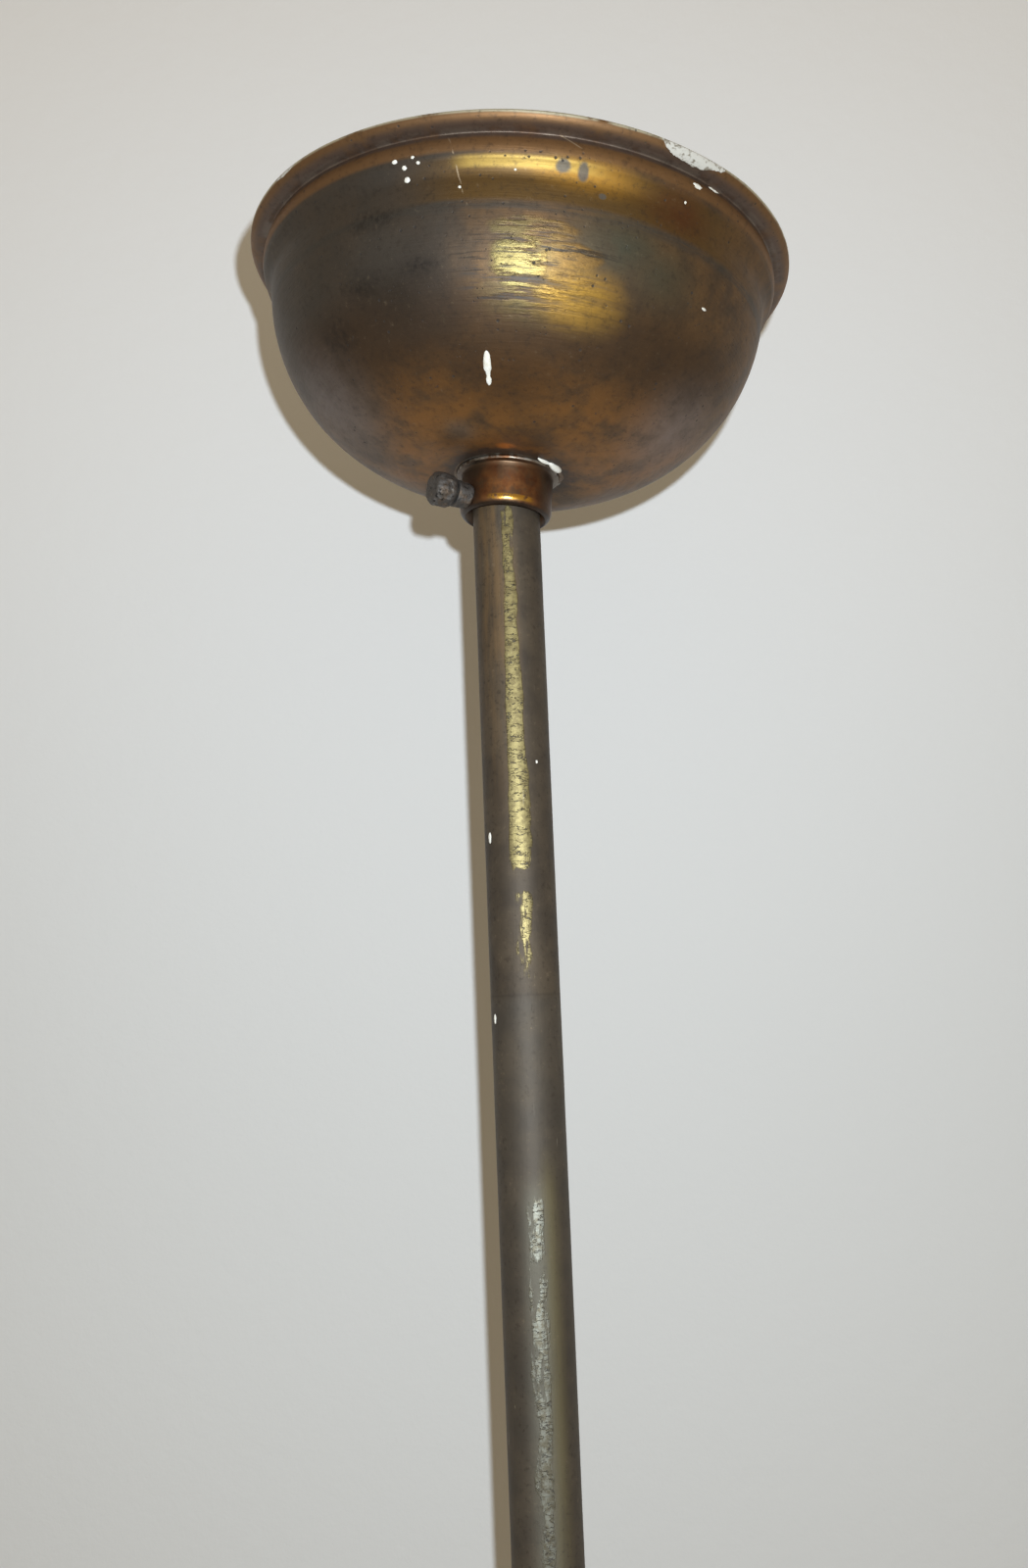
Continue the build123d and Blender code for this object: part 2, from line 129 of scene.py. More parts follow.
rim_height = span_in(local_frame(pivot, canopy_up), "canopy_dome")[1]
CANOPY = local_frame(pivot + canopy_up.normalized() * rim_height * MM, canopy_up)
UPRIGHT = local_frame(Vector(), Vector((0, 0, 1)))

NECK_LOW, NECK_HIGH, FLANGE_RADIUS = span_in(CANOPY, "canopy_neck")
SCREW = local_frame(pivot, screw_out)
SCREW_TIP, SCREW_END, SCREW_HEAD_RADIUS = span_in(SCREW, "thumb_screw")
ROD_LOW, ROD_HIGH, ROD_RADIUS = span_in(UPRIGHT, "down_rod")
NIPPLE_LOW, NIPPLE_HIGH, NIPPLE_RADIUS = span_in(UPRIGHT, "lower_nipple")
NUT_LOW = span_in(UPRIGHT, "lower_lock_nut")[0]
NECK_RADIUS = FLANGE_RADIUS - FLANGE_WIDTH
BOSS_END, BOSS_RADIUS = span_in(SCREW, "screw_boss")[1:]


# --- shapes ---


def bowl_depth_at(radius, inset=0.0):
    """Depth below the rim of the bowl: a superellipse with a dished, nearly flat bottom."""
    share = (radius / (BOWL_RADIUS - inset)) ** BOWL_POWER
    dish = DISH_DEPTH * max(0.0, 1 - (radius / DISH_RADIUS) ** 2) ** 2
    return EQUATOR_DEPTH + (BOWL_DEPTH - inset) * (1 - share) ** (1 / BOWL_POWER) - dish


def bowl_radius_at(depth, inset=0.0):
    """Radius of the bowl's side at a depth below the rim."""
    share = ((depth - EQUATOR_DEPTH) / (BOWL_DEPTH - inset)) ** BOWL_POWER
    return (BOWL_RADIUS - inset) * (1 - share) ** (1 / BOWL_POWER)


FLANGE_TOP = bowl_depth_at(FLANGE_RADIUS) + SEAM


def cove_radius(share):
    """Radius of the cove, where share goes from 0 under the bead to 1 at the bowl."""
    wall = bowl_radius_at(BOWL_TOP_DEPTH)
    return wall + (BEAD_BOTTOM_RADIUS - wall) * (1 - share) ** 2


def shares(steps, first=0):
    """Evenly spaced numbers up to 1, from first / steps."""
    return [i / steps for i in range(first, steps + 1)]


def bowl_side(inset, steps):
    """Points of the bowl's side, from below the cove in to the neck hole."""
    top = bowl_radius_at(BOWL_TOP_DEPTH, inset)
    points = []
    for share in shares(steps):
        radius = top + (NECK_HOLE_RADIUS - top) * (1 - math.cos(share * math.pi / 2))
        points.append((radius, -bowl_depth_at(radius, inset)))
    return points


def dome_outside():
    """Quarter-round lip, crease, low bead, cove and bowl."""
    lip_in = RIM_RADIUS - LIP_WIDTH
    points = []
    for share in shares(14):
        angle = share * math.pi / 2
        points.append((lip_in + LIP_WIDTH * math.cos(angle), -LIP_DEPTH * math.sin(angle)))
    points.append((lip_in - CREASE, -LIP_DEPTH - CREASE / 2))
    bead_top = (lip_in - CREASE, -LIP_DEPTH - CREASE)
    for share in shares(14):
        radius = bead_top[0] + (BEAD_BOTTOM_RADIUS - bead_top[0]) * share
        radius += BEAD_BULGE * math.sin(share * math.pi)
        points.append((radius, bead_top[1] + (-BEAD_BOTTOM_DEPTH - bead_top[1]) * share))
    for share in shares(14, 1)[:-1]:
        height = -BEAD_BOTTOM_DEPTH - (BOWL_TOP_DEPTH - BEAD_BOTTOM_DEPTH) * share
        points.append((cove_radius(share), height))
    return points + bowl_side(0.0, 64)


def dome_inside():
    """The same wall seen from inside, from the neck hole out to the lip."""
    lip_in = RIM_RADIUS - LIP_WIDTH
    points = bowl_side(WALL, 40)[::-1]
    points.append((BEAD_BOTTOM_RADIUS - WALL - 0.6, -BEAD_BOTTOM_DEPTH - 1.2))
    points.append((BEAD_BOTTOM_RADIUS - WALL, -BEAD_BOTTOM_DEPTH + WALL / 2))
    points.append((lip_in - CREASE - WALL, -LIP_DEPTH))
    for share in shares(6):
        angle = (1 - share) * math.pi / 2
        radius = lip_in - WALL + LIP_WIDTH * math.cos(angle)
        points.append((radius, -(LIP_DEPTH - WALL) * math.sin(angle)))
    return points


def turned(radius, angle, height):
    """A point round local z, at an angle to the right of the front."""
    return (radius * math.sin(angle), -radius * math.cos(angle), height)


def lump(point, size, seed):
    """Smooth noise between -1 and 1 whose lumps are about size across."""
    return noise.noise(Vector(point) / size + Vector((seed, 0.7 * seed, -seed)))


def add_object(name, data):
    thing = bpy.data.objects.new(name, data)
    bpy.context.scene.collection.objects.link(thing)
    return thing


def new_piece(name, local_points, faces, place, material):
    """A mesh piece from points in a local frame. It keeps those points in its attribute "local"."""
    mesh = bpy.data.meshes.new(name)
    mesh.from_pydata([place @ Vector(p) for p in local_points], [], faces)
    mesh.update()
    attribute = mesh.attributes.new("local", "FLOAT_VECTOR", "POINT")
    attribute.data.foreach_set("vector", [value for point in local_points for value in point])
    for polygon in mesh.polygons:
        polygon.use_smooth = True
    mesh.materials.append(material)
    return add_object(name, mesh)


def ring_faces(columns, rows):
    """Faces of a grid that closes on itself both ways, from points listed column by column."""
    faces = []
    for i in range(columns):
        a, b = i * rows, (i + 1) % columns * rows
        for j in range(rows):
            k = (j + 1) % rows
            faces.append((a + j, a + k, b + k, b + j))
    return faces


def lathe(name, profile, place, material, segments, shift):
    """A closed ring turned about local z. shift(angle, radius, z) gives a new (radius, z)."""
    points = []
    for i in range(segments):
        angle = TURN * i / segments
        for point in profile:
            radius, height = shift(angle, *point)
            points.append(turned(radius, angle, height))
    return new_piece(name, points, ring_faces(segments, len(profile)), place, material)


def threaded_tube(name, ends, outer, inner, pitch, place, material, smooth_from=None, tip=0.0):
    """A tube with a V thread outside, or a rod where inner is 0. tip is the chamfer of its low end.

    Above smooth_from its radius is plain and a little smaller.
    """
    low, high = ends
    segments = 48
    rows = int((high - low) / pitch * 12)
    depth = THREAD_DEPTH * pitch
    points = []
    for i in range(segments):
        angle = TURN * i / segments
        column = []
        for j in range(rows + 1):
            height = low + (high - low) * j / rows
            wave = abs(2 * ((height / pitch - i / segments) % 1.0) - 1)
            radius = outer - depth * max(0.0, min(1.0, 1.35 * wave - 0.15))
            end = min(height - low, high - height)
            radius -= max(0.0, depth - end)
            radius -= max(0.0, tip - (height - low))
            if smooth_from is not None and height > smooth_from:
                in_relief = height < smooth_from + THREAD_RELIEF_WIDTH
                radius = THREAD_RELIEF_RADIUS if in_relief else outer - SEAM
            column.append((radius, height))
        if inner:
            column += [(inner, high - 0.05), (inner, low + 0.05)]
        else:
            column += [(0.01, high), (0.01, low)]
        points += [turned(radius, angle, height) for radius, height in column]
    return new_piece(name, points, ring_faces(segments, len(column)), place, material)


# --- materials ---


def srgb(red, green, blue):
    """Linear colour from sRGB values of 0 to 255, all over 10."""
    return tuple(((value / 255 + 0.055) / 1.055) ** 2.4 for value in (red, green, blue)) + (1.0,)


class Graph:
    """Short names for one material's shader nodes."""

    def __init__(self, name):
        self.material = bpy.data.materials.new(name)
        self.material.use_nodes = True
        self.tree = self.material.node_tree
        self.shader = self.tree.nodes["Principled BSDF"]

    def feed(self, socket, value):
        """Links a socket to another, or sets its value."""
        if isinstance(value, bpy.types.NodeSocket):
            self.tree.links.new(value, socket)
        else:
            socket.default_value = value

    def node(self, kind, inputs=(), **settings):
        node = self.tree.nodes.new(kind)
        for key, value in settings.items():
            setattr(node, key, value)
        for key, value in dict(inputs).items():
            self.feed(node.inputs[key], value)
        return node

    def math(self, operation, a, b=0.0, c=0.0):
        return self.node("ShaderNodeMath", {0: a, 1: b, 2: c}, operation=operation).outputs[0]

    def scaled(self, value, factor, offset):
        return self.math("MULTIPLY_ADD", value, factor, offset)

    def away(self, value, middle):
        """How far a value is from middle, either way."""
        return self.math("ABSOLUTE", self.math("SUBTRACT", value, middle))

    def vector(self, operation, a, b=(0.0, 0.0, 0.0)):
        return self.node("ShaderNodeVectorMath", {0: a, 1: b}, operation=operation)

    def local(self):
        """Place in a turned piece's own frame, in millimetres."""
        return self.node("ShaderNodeAttribute", attribute_name="local").outputs["Vector"]

    def split(self, where):
        return self.node("ShaderNodeSeparateXYZ", {0: where}).outputs

    def length(self, vector):
        return self.vector("LENGTH", vector).outputs["Value"]

    def object_mm(self):
        """Place in a CAD node or in the room, in millimetres."""
        where = self.node("ShaderNodeTexCoord").outputs["Object"]
        scale = self.vector("SCALE", where)
        scale.inputs["Scale"].default_value = 1 / MM
        return scale.outputs[0]

    def stretched(self, where, *scale):
        return self.vector("MULTIPLY", where, scale).outputs[0]

    def noise(self, where, size, detail=3.0, rough=0.5, seed=0):
        """Noise between 0 and 1 with lumps about size millimetres across."""
        sockets = {"Vector": where, "W": seed, "Scale": 1 / size}
        sockets.update({"Detail": detail, "Roughness": rough})
        return self.node("ShaderNodeTexNoise", sockets, noise_dimensions="4D").outputs["Fac"]

    def cells(self, where, size, seed):
        """Distance from the middle of cells about size millimetres across."""
        sockets = {"Vector": where, "W": seed, "Scale": 1 / size}
        node = self.node("ShaderNodeTexVoronoi", sockets, voronoi_dimensions="4D")
        return node.outputs["Distance"]

    def step(self, value, low, high):
        """0 below low and 1 above high, smooth between. low may be the larger one."""
        flip = low > high
        sockets = {"Value": value, "From Min": min(low, high), "From Max": max(low, high)}
        sockets.update({"To Min": float(flip), "To Max": float(not flip)})
        ramp = self.node("ShaderNodeMapRange", sockets, interpolation_type="SMOOTHSTEP")
        return ramp.outputs["Result"]

    def band(self, value, low, high, soft):
        """1 between low and high, and 0 beyond them, over soft to each side."""
        rise = self.step(value, low - soft, low + soft)
        return self.product(rise, self.step(value, high + soft, high - soft))

    def mix(self, share, a, b):
        """Colour between a and b. A plain colour is given in sRGB values of 0 to 255."""
        node = self.node("ShaderNodeMix", {0: share}, data_type="RGBA")
        for index, color in ((6, a), (7, b)):
            self.feed(node.inputs[index], srgb(*color) if isinstance(color, tuple) else color)
        return node.outputs[2]

    def blend(self, share, a, b):
        """Number between a and b."""
        return self.node("ShaderNodeMix", {0: share, 2: a, 3: b}, data_type="FLOAT").outputs[0]

    def product(self, *values):
        result = values[0]
        for value in values[1:]:
            result = self.math("MULTIPLY", result, value)
        return result

    def blob(self, where, centre, size, soft):
        """1 inside an ellipsoid of half-widths size about centre, fading to 0 at its surface."""
        offset = self.vector("SUBTRACT", where, centre).outputs[0]
        scaled = self.vector("DIVIDE", offset, size).outputs[0]
        return self.step(self.length(scaled), 1.0, 1.0 - soft)

    def most(self, *values):
        """The largest of the values."""
        result = values[0]
        for value in values[1:]:
            result = self.math("MAXIMUM", result, value)
        return result

    def height(self, *layers):
        """Bump on the shader's normal, from (value, millimetres) layers."""
        total = 0.0
        for value, depth in layers:
            total = self.scaled(value, depth, total)
        bump = self.node("ShaderNodeBump", {"Height": total, "Distance": MM, "Strength": 1.0})
        self.feed(self.shader.inputs["Normal"], bump.outputs[0])

    def surface(self, node):
        """Puts another surface in place of the shader's own."""
        self.tree.links.new(node.outputs[0], self.tree.nodes["Material Output"].inputs["Surface"])
        return self.material

    def coat(self, share, color, strength=None):
        """Lays another colour over the material's colour so far, by share times strength."""
        share = self.product(share, strength) if strength else share
        self.color = self.mix(share, self.color, color)

    def finish(self, rough, metallic):
        """Feeds the shader its colour, roughness and metallic."""
        self.feed(self.shader.inputs["Base Color"], self.color)
        self.feed(self.shader.inputs["Roughness"], rough)
        self.feed(self.shader.inputs["Metallic"], metallic)
        return self.material


def on_dome(angle, depth, radius=None):
    """Local place on the dome's outside. angle is in degrees to the right of the front."""
    radius = radius or bowl_radius_at(max(depth, BOWL_TOP_DEPTH))
    return turned(radius, math.radians(angle), -depth)


def dome_material():
    """Spun brass with no lacquer left: brown tarnish, gold where rubbed, paint from the ceiling."""
    g = Graph("dome_brass")
    where = g.local()
    x, y, z = g.split(where)
    depth = g.product(z, -1.0)

    cloud = g.noise(where, 26.0, 3.0, 0.55, seed=1)
    mottle = g.noise(where, 7.0, 4.0, 0.62, seed=2)
    grime = g.noise(where, 1.3, 4.0, 0.7, seed=3)
    ragged = g.math("SUBTRACT", g.noise(where, 3.0, 4.0, 0.65, seed=6), 0.5)
    # Rubbing and spinning run round the dome, so these noises are squeezed along its axis.
    streaks = g.noise(g.stretched(where, 0.085, 0.085, 1.0), 1.1, 4.0, 0.7, seed=4)
    fine_streaks = g.noise(g.stretched(where, 0.05, 0.05, 1.0), 0.42, 3.0, 0.6, seed=5)

    def zone(angle, low, size, soft, radius=None):
        """A blob on the dome with a ragged edge."""
        blob = g.blob(where, on_dome(angle, low, radius), size, soft)
        return g.step(g.scaled(ragged, 1.1, blob), 0.15, 0.75)

    def haze(angle, low, size, radius=None):
        """A blob that fades out from its middle, patchy with the clouds."""
        blob = g.blob(where, on_dome(angle, low, radius), size, 1.0)
        return g.product(blob, g.scaled(g.step(mottle, 0.25, 0.6), 0.6, 0.4))

    # Tarnish: brown all round, green-grey on the right, orange below. The front's left is blue-grey
    # and darker, partly tarnish and partly painted shade beside the highlight.
    g.color = g.mix(g.step(mottle, 0.32, 0.68), (84, 68, 52), (112, 85, 56))
    left = g.product(g.step(x, -6.0, -16.0), g.step(y, 20.0, -20.0), g.step(depth, 46.0, 36.0))
    g.coat(left, (72, 67, 61), 0.85)
    green = g.most(haze(24, 23, (20, 18, 11)), g.product(haze(34, 26, (16, 16, 12)), 0.8))
    g.coat(green, (76, 74, 60))
    lower = g.product(g.band(depth, 43.0, 58.0, 4.0), g.step(x, -34.0, -24.0), g.step(y, 16.0, 0.0))
    patchy = g.scaled(g.step(mottle, 0.34, 0.62), 0.6, 0.2)
    g.coat(g.product(lower, patchy), (140, 96, 50))
    below_drip = g.blob(where, on_dome(0, 47), (17, 14, 9), 0.9)
    g.coat(below_drip, (72, 52, 34), 0.55)
    middle = g.product(g.band(depth, 32.0, 46.0, 5.0), g.step(y, 0.0, -24.0), 0.75)
    g.coat(middle, (72, 54, 38))
    # Dark-brown haze left of the highlight: painted shade, over darker tarnish there.
    g.coat(haze(-26, 31, (22, 14, 16)), (52, 45, 38), 0.7)
    lilac = g.most(haze(74, 46, (20, 24, 16)), haze(-74, 44, (24, 26, 18)))
    g.coat(lilac, (106, 96, 92), 0.7)

    # Gold-brown band under the bead, redder at its right end. Its bright gold haze at the front
    # right is partly tarnish colour and partly painted sheen.
    band = g.product(g.band(depth, 8.2, 16.6, 0.7), g.step(x, -28.0, -8.0), g.step(y, 10.0, -30.0))
    g.coat(g.product(band, g.step(x, 56.0, 36.0)), (96, 72, 38))
    # Painted sheen over gold tarnish, at the front right under the bead.
    g.coat(haze(16, 10, (19, 16, 5.5), 60), (160, 116, 42))
    g.coat(haze(36, 12, (15, 12, 7)), (90, 52, 28), 0.9)

    # The front is rubbed bright in one flaky patch. The gold ring along the cove and the glint
    # above the flange are painted highlights.
    front = g.step(y, 0.0, -30.0)
    # Painted highlight: the cove's ring at the front, where the lamp's reflection runs along it.
    cove = g.product(g.band(depth, 7.9, 9.9, 0.5), g.step(x, -15.0, -9.0), g.step(x, 22.0, 12.0))
    cove = g.product(cove, front)
    worn = g.step(streaks, 0.43, 0.53)
    rubbed = g.most(
        g.product(zone(4.5, 22.2, (13, 10, 3.4), 0.6), worn, 0.45),
        g.product(zone(12.5, 26.6, (10.5, 10, 3.4), 0.6), g.step(streaks, 0.30, 0.42), 0.55),
        g.product(zone(2.0, 28.5, (8.5, 10, 7.5), 0.6), g.step(streaks, 0.42, 0.52), 0.8),
        g.product(haze(9.5, 33, (20, 14, 9)), worn, 0.8),
    )
    g.coat(rubbed, g.mix(g.step(x, 2.0, 14.0), (124, 112, 68), (146, 110, 54)))
    flakes = g.noise(g.stretched(where, 0.3, 0.3, 1.0), 0.8, 4.0, 0.7, seed=15)
    g.coat(g.product(rubbed, g.step(flakes, 0.49, 0.40), 0.75), (60, 54, 44))
    # The painted highlight ring in the cove.
    g.coat(g.product(cove, g.step(mottle, 0.22, 0.5), 0.7), (172, 142, 70))
    smear = g.blob(where, on_dome(3, 30), (18, 15, 12), 0.5)
    smear = g.product(smear, g.step(streaks, 0.48, 0.36), 0.85)
    g.coat(smear, (62, 60, 57))
    # Painted reflection: an orange glint of the flange on the dome just above it.
    glint = g.product(g.blob(where, (-0.4, -17.2, -bowl_depth_at(17.2)), (3.0, 2.2, 3.0), 0.7), 0.9)
    line_noise = g.noise(g.stretched(where, 0.06, 0.06, 1.0), 0.7, 2.0, 0.5, seed=17)
    lines = g.blob(where, on_dome(6, 29), (23, 15, 10), 0.4)
    lines = g.product(g.step(line_noise, 0.42, 0.37), lines, 0.75)
    g.coat(lines, (50, 44, 38))
    gold = g.product(haze(17, 34, (14, 17, 8)), g.blend(g.step(streaks, 0.4, 0.55), 0.6, 1.0))
    g.coat(gold, (172, 132, 54))

    # Dirt lies along one ring, in the crease, round the neck and over the lip. The pale line on the
    # rim's edge is a painted reflection, and the dark round the neck is partly painted shade.
    ring = g.product(g.band(depth, 16.8, 18.8, 0.9), g.step(streaks, 0.3, 0.6), 0.75)
    g.coat(ring, (70, 66, 60))
    lip = g.step(depth, 7.6, 6.6)
    g.coat(lip, (126, 92, 58), 0.8)
    crease = g.product(g.band(depth, 1.9, 4.0, 0.5), g.step(mottle, 0.25, 0.5), 0.8)
    g.coat(crease, (88, 76, 70))
    line = g.product(g.band(depth, 2.5, 2.9, 0.15), g.step(mottle, 0.42, 0.58), 0.4)
    g.coat(line, (138, 126, 112))
    # Painted reflection: a pale line round the rim's outer edge.
    edge = g.product(g.step(depth, 0.9, 0.4), g.step(mottle, 0.3, 0.5), 0.85)
    g.coat(edge, (206, 200, 174))
    # Dark round the neck on the dome's lower part: dirt, and painted shade where the lamp grazes
    # the bottom.
    around_neck = g.length(g.stretched(where, 1.0, 1.0, 0.0))
    dirt_and_shade_by_neck = g.step(g.scaled(ragged, 9.0, around_neck), 17.5, 13.5)
    dirt_and_shade_by_neck = g.product(dirt_and_shade_by_neck, g.step(z, -30.0, -40.0))
    g.coat(dirt_and_shade_by_neck, (62, 56, 52), 0.85)
    # The painted glint of the flange, laid over the dirt.
    g.coat(glint, (178, 112, 48))

    # Black specks, pits and grey blotches.
    here = g.step(g.noise(where, 9.0, seed=8), 0.47, 0.56)
    speck = g.product(g.step(g.cells(where, 1.9, 7.0), 0.22, 0.12), here)
    here = g.step(g.noise(where, 5.0, seed=10), 0.53, 0.64)
    pits = g.product(g.step(g.cells(where, 0.8, 9.0), 0.3, 0.14), here)
    blotch = g.most(
        g.product(haze(-25, 52.5, (6, 6, 5), 25), 0.8),
        zone(9.4, 9.0, (2.6, 3, 2.3), 0.9, 60.6),
        zone(13.6, 9.6, (1.9, 3, 3.0), 0.9, 60.4),
        zone(18.1, 13.6, (1.4, 2, 1.1), 0.9),
        g.product(haze(-30, 25, (15, 12, 9)), 0.4),
    )
    row = g.product(g.step(g.cells(where, 1.0, 16.0), 0.40, 0.22), g.band(depth, 6.9, 8.5, 0.3))
    row = g.product(row, g.step(mottle, 0.36, 0.5))
    row = g.product(row, g.step(x, -16.0, -8.0), g.step(x, 26.0, 14.0), front)
    dark = g.most(speck, pits, row)
    g.coat(blotch, (76, 72, 66), 0.85)
    smudge = g.most(
        haze(-35.5, 29.5, (9, 8, 4)),
        haze(-21, 28.5, (7, 7, 3)),
        haze(-31, 18, (11, 8, 4)),
        haze(-50, 36, (8, 8, 6)),
    )
    smudge = g.product(smudge, g.blend(g.step(grime, 0.56, 0.42), 0.4, 1.0))
    g.coat(smudge, (40, 36, 33), 0.75)
    g.coat(dark, (40, 36, 32), 0.85)
    g.coat(g.step(grime, 0.50, 0.30), (50, 43, 37), 0.4)
    g.coat(g.step(grime, 0.58, 0.78), (170, 150, 120), 0.16)

    # Ceiling paint on the lip, and two hairline scratches through the tarnish.
    paint = g.most(
        g.blob(where, on_dome(35.5, 0.3, 65), (12.5, 12, 2.9), 0.5),
        g.blob(where, on_dome(-53, 0.0, 65), (7, 7, 1.4), 0.6),
    )
    paint = g.step(g.scaled(g.noise(where, 2.6, 5.0, 0.65, seed=12), 0.9, paint), 0.98, 1.04)
    scratch_x = g.scaled(depth, 0.33, -15.6)
    scratch_off = g.away(g.scaled(ragged, 0.5, x), scratch_x)
    foremost = g.step(y, -40.0, -50.0)
    scratch = g.product(g.step(scratch_off, 0.22, 0.08), g.band(depth, 4.0, 17.6, 0.4), foremost)
    scratch = g.product(scratch, g.step(g.noise(where, 1.6, seed=13), 0.4, 0.55), 0.8)
    scratch_off = g.away(x, g.scaled(depth, 1.69, 4.6))
    second = g.product(g.step(scratch_off, 0.45, 0.15), g.band(depth, 2.7, 5.2, 0.3), foremost, 0.7)
    g.coat(g.most(scratch, second), (168, 148, 120))
    fleck = g.step(g.noise(where, 0.9, 3.0, 0.6, seed=14), 0.52, 0.60)
    g.coat(paint, g.mix(fleck, (190, 186, 176), (128, 120, 106)))

    rough = g.blend(rubbed, g.blend(cloud, 0.48, 0.60), 0.42)
    rough = g.scaled(g.math("SUBTRACT", fine_streaks, 0.5), 0.2, rough)
    rough = g.scaled(dark, 0.2, rough)
    rough = g.blend(paint, rough, 0.62)
    metallic = g.blend(g.most(dark, blotch, lilac), g.blend(rubbed, 0.72, 0.97), 0.3)
    metallic = g.blend(paint, metallic, 0.0)

    # The inside was never handled: dull brown brass all over.
    inside = g.node("ShaderNodeAttribute", attribute_name="inside").outputs["Fac"]
    dull = g.mix(g.step(mottle, 0.32, 0.68), (74, 57, 40), (112, 86, 52))
    dull = g.mix(g.product(g.step(grime, 0.5, 0.3), 0.5), dull, (48, 40, 32))
    g.coat(inside, dull)
    rough = g.blend(inside, rough, 0.55)
    metallic = g.blend(inside, metallic, 0.8)
    paint = g.product(paint, g.math("SUBTRACT", 1.0, inside))
    g.height(
        (g.product(flakes, rubbed), 0.12),
        (fine_streaks, 0.03),
        (streaks, 0.03),
        (grime, 0.02),
        (mottle, 0.06),
        (dark, -0.05),
        (paint, 0.16),
    )
    return g.finish(rough, metallic)


def neck_material():
    """Turned brass with a coppery tarnish, painted shade dark by the flange, on its sides and
    underneath, and painted highlights on its nose and the flange's edge.
    """
    g = Graph("neck_brass")
    where = g.local()
    x, _, z = g.split(where)
    mottle = g.noise(where, 2.6, 4.0, 0.6, seed=20)
    rings = g.noise(g.stretched(where, 0.04, 0.04, 1.0), 0.3, 3.0, 0.6, seed=21)
    g.color = g.mix(g.step(mottle, 0.3, 0.7), (118, 76, 50), (156, 108, 66))
    # Painted shade: darker just under the flange.
    shade_by_flange = g.product(g.step(z, -FLANGE_TOP - 5.5, -FLANGE_TOP), g.step(mottle, 0.3, 0.6), 0.75)
    g.coat(shade_by_flange, (84, 72, 60))
    # Painted shade: darker to the left and right, where the neck turns from the lamp.
    shaded_sides = g.step(g.away(x, 0.8), 4.5, 9.0)
    g.coat(shaded_sides, (68, 60, 54), 0.8)
    grey = g.step(g.noise(where, 4.5, 4.0, 0.65, seed=23), 0.44, 0.6)
    g.coat(grey, (96, 82, 66), 0.6)
    # Painted highlight: a patchy gold arc on the front of the nose, where the lamp's reflection
    # falls.
    patch = g.step(g.noise(where, 2.0, 3.0, 0.6, seed=24), 0.36, 0.46)
    nose = g.product(g.band(z, NECK_LOW + 1.2, NECK_LOW + 2.3, 0.3), g.step(x, -4.6, -2.6))
    nose = g.product(nose, g.step(x, 7.0, 5.0), patch)
    g.coat(nose, (212, 160, 68))
    # Painted highlight: a pale line round the flange's edge.
    edge = g.band(z, -FLANGE_TOP - FLANGE_THICKNESS + 0.1, -FLANGE_TOP - 0.1, 0.2)
    g.coat(g.product(edge, g.step(mottle, 0.4, 0.6), 0.8), (186, 180, 168))
    # Painted shade: darker on the nose's underside.
    under = g.step(z, NECK_LOW + 1.0, NECK_LOW + 0.5)
    g.coat(under, (66, 60, 56), 0.85)
    rough = g.blend(nose, g.blend(mottle, 0.36, 0.5), 0.24)
    g.height((rings, 0.02), (mottle, 0.06), (g.noise(where, 0.6, seed=22), 0.02))
    return g.finish(rough, 0.95)


def solder_material():
    """Dull grey solder with bright lumps and brown flux."""
    g = Graph("solder")
    where = g.local()
    lumps = g.noise(where, 1.6, 4.0, 0.65, seed=30)
    g.color = g.mix(g.step(lumps, 0.42, 0.66), (84, 77, 68), (150, 146, 136))
    brown = g.step(g.noise(where, 5.0, seed=31), 0.36, 0.54)
    g.coat(brown, (98, 74, 50), 0.75)
    g.height((lumps, 0.35), (g.noise(where, 0.5, seed=32), 0.06))
    return g.finish(g.blend(lumps, 0.62, 0.42), 0.7)


def screw_material():
    """Blackened, pitted steel with brown rust."""
    g = Graph("screw_steel")
    where = g.local()
    pits = g.noise(where, 0.75, 4.0, 0.7, seed=40)
    rust = g.noise(where, 2.4, 3.0, 0.6, seed=41)
    g.color = g.mix(g.step(rust, 0.5, 0.72), (90, 86, 82), (108, 90, 72))
    g.coat(g.step(pits, 0.46, 0.36), (34, 31, 29))
    g.coat(g.step(pits, 0.62, 0.72), (170, 160, 146), 0.7)
    g.height((pits, 0.32), (rust, 0.2))
    return g.finish(g.blend(pits, 0.68, 0.46), 0.72)


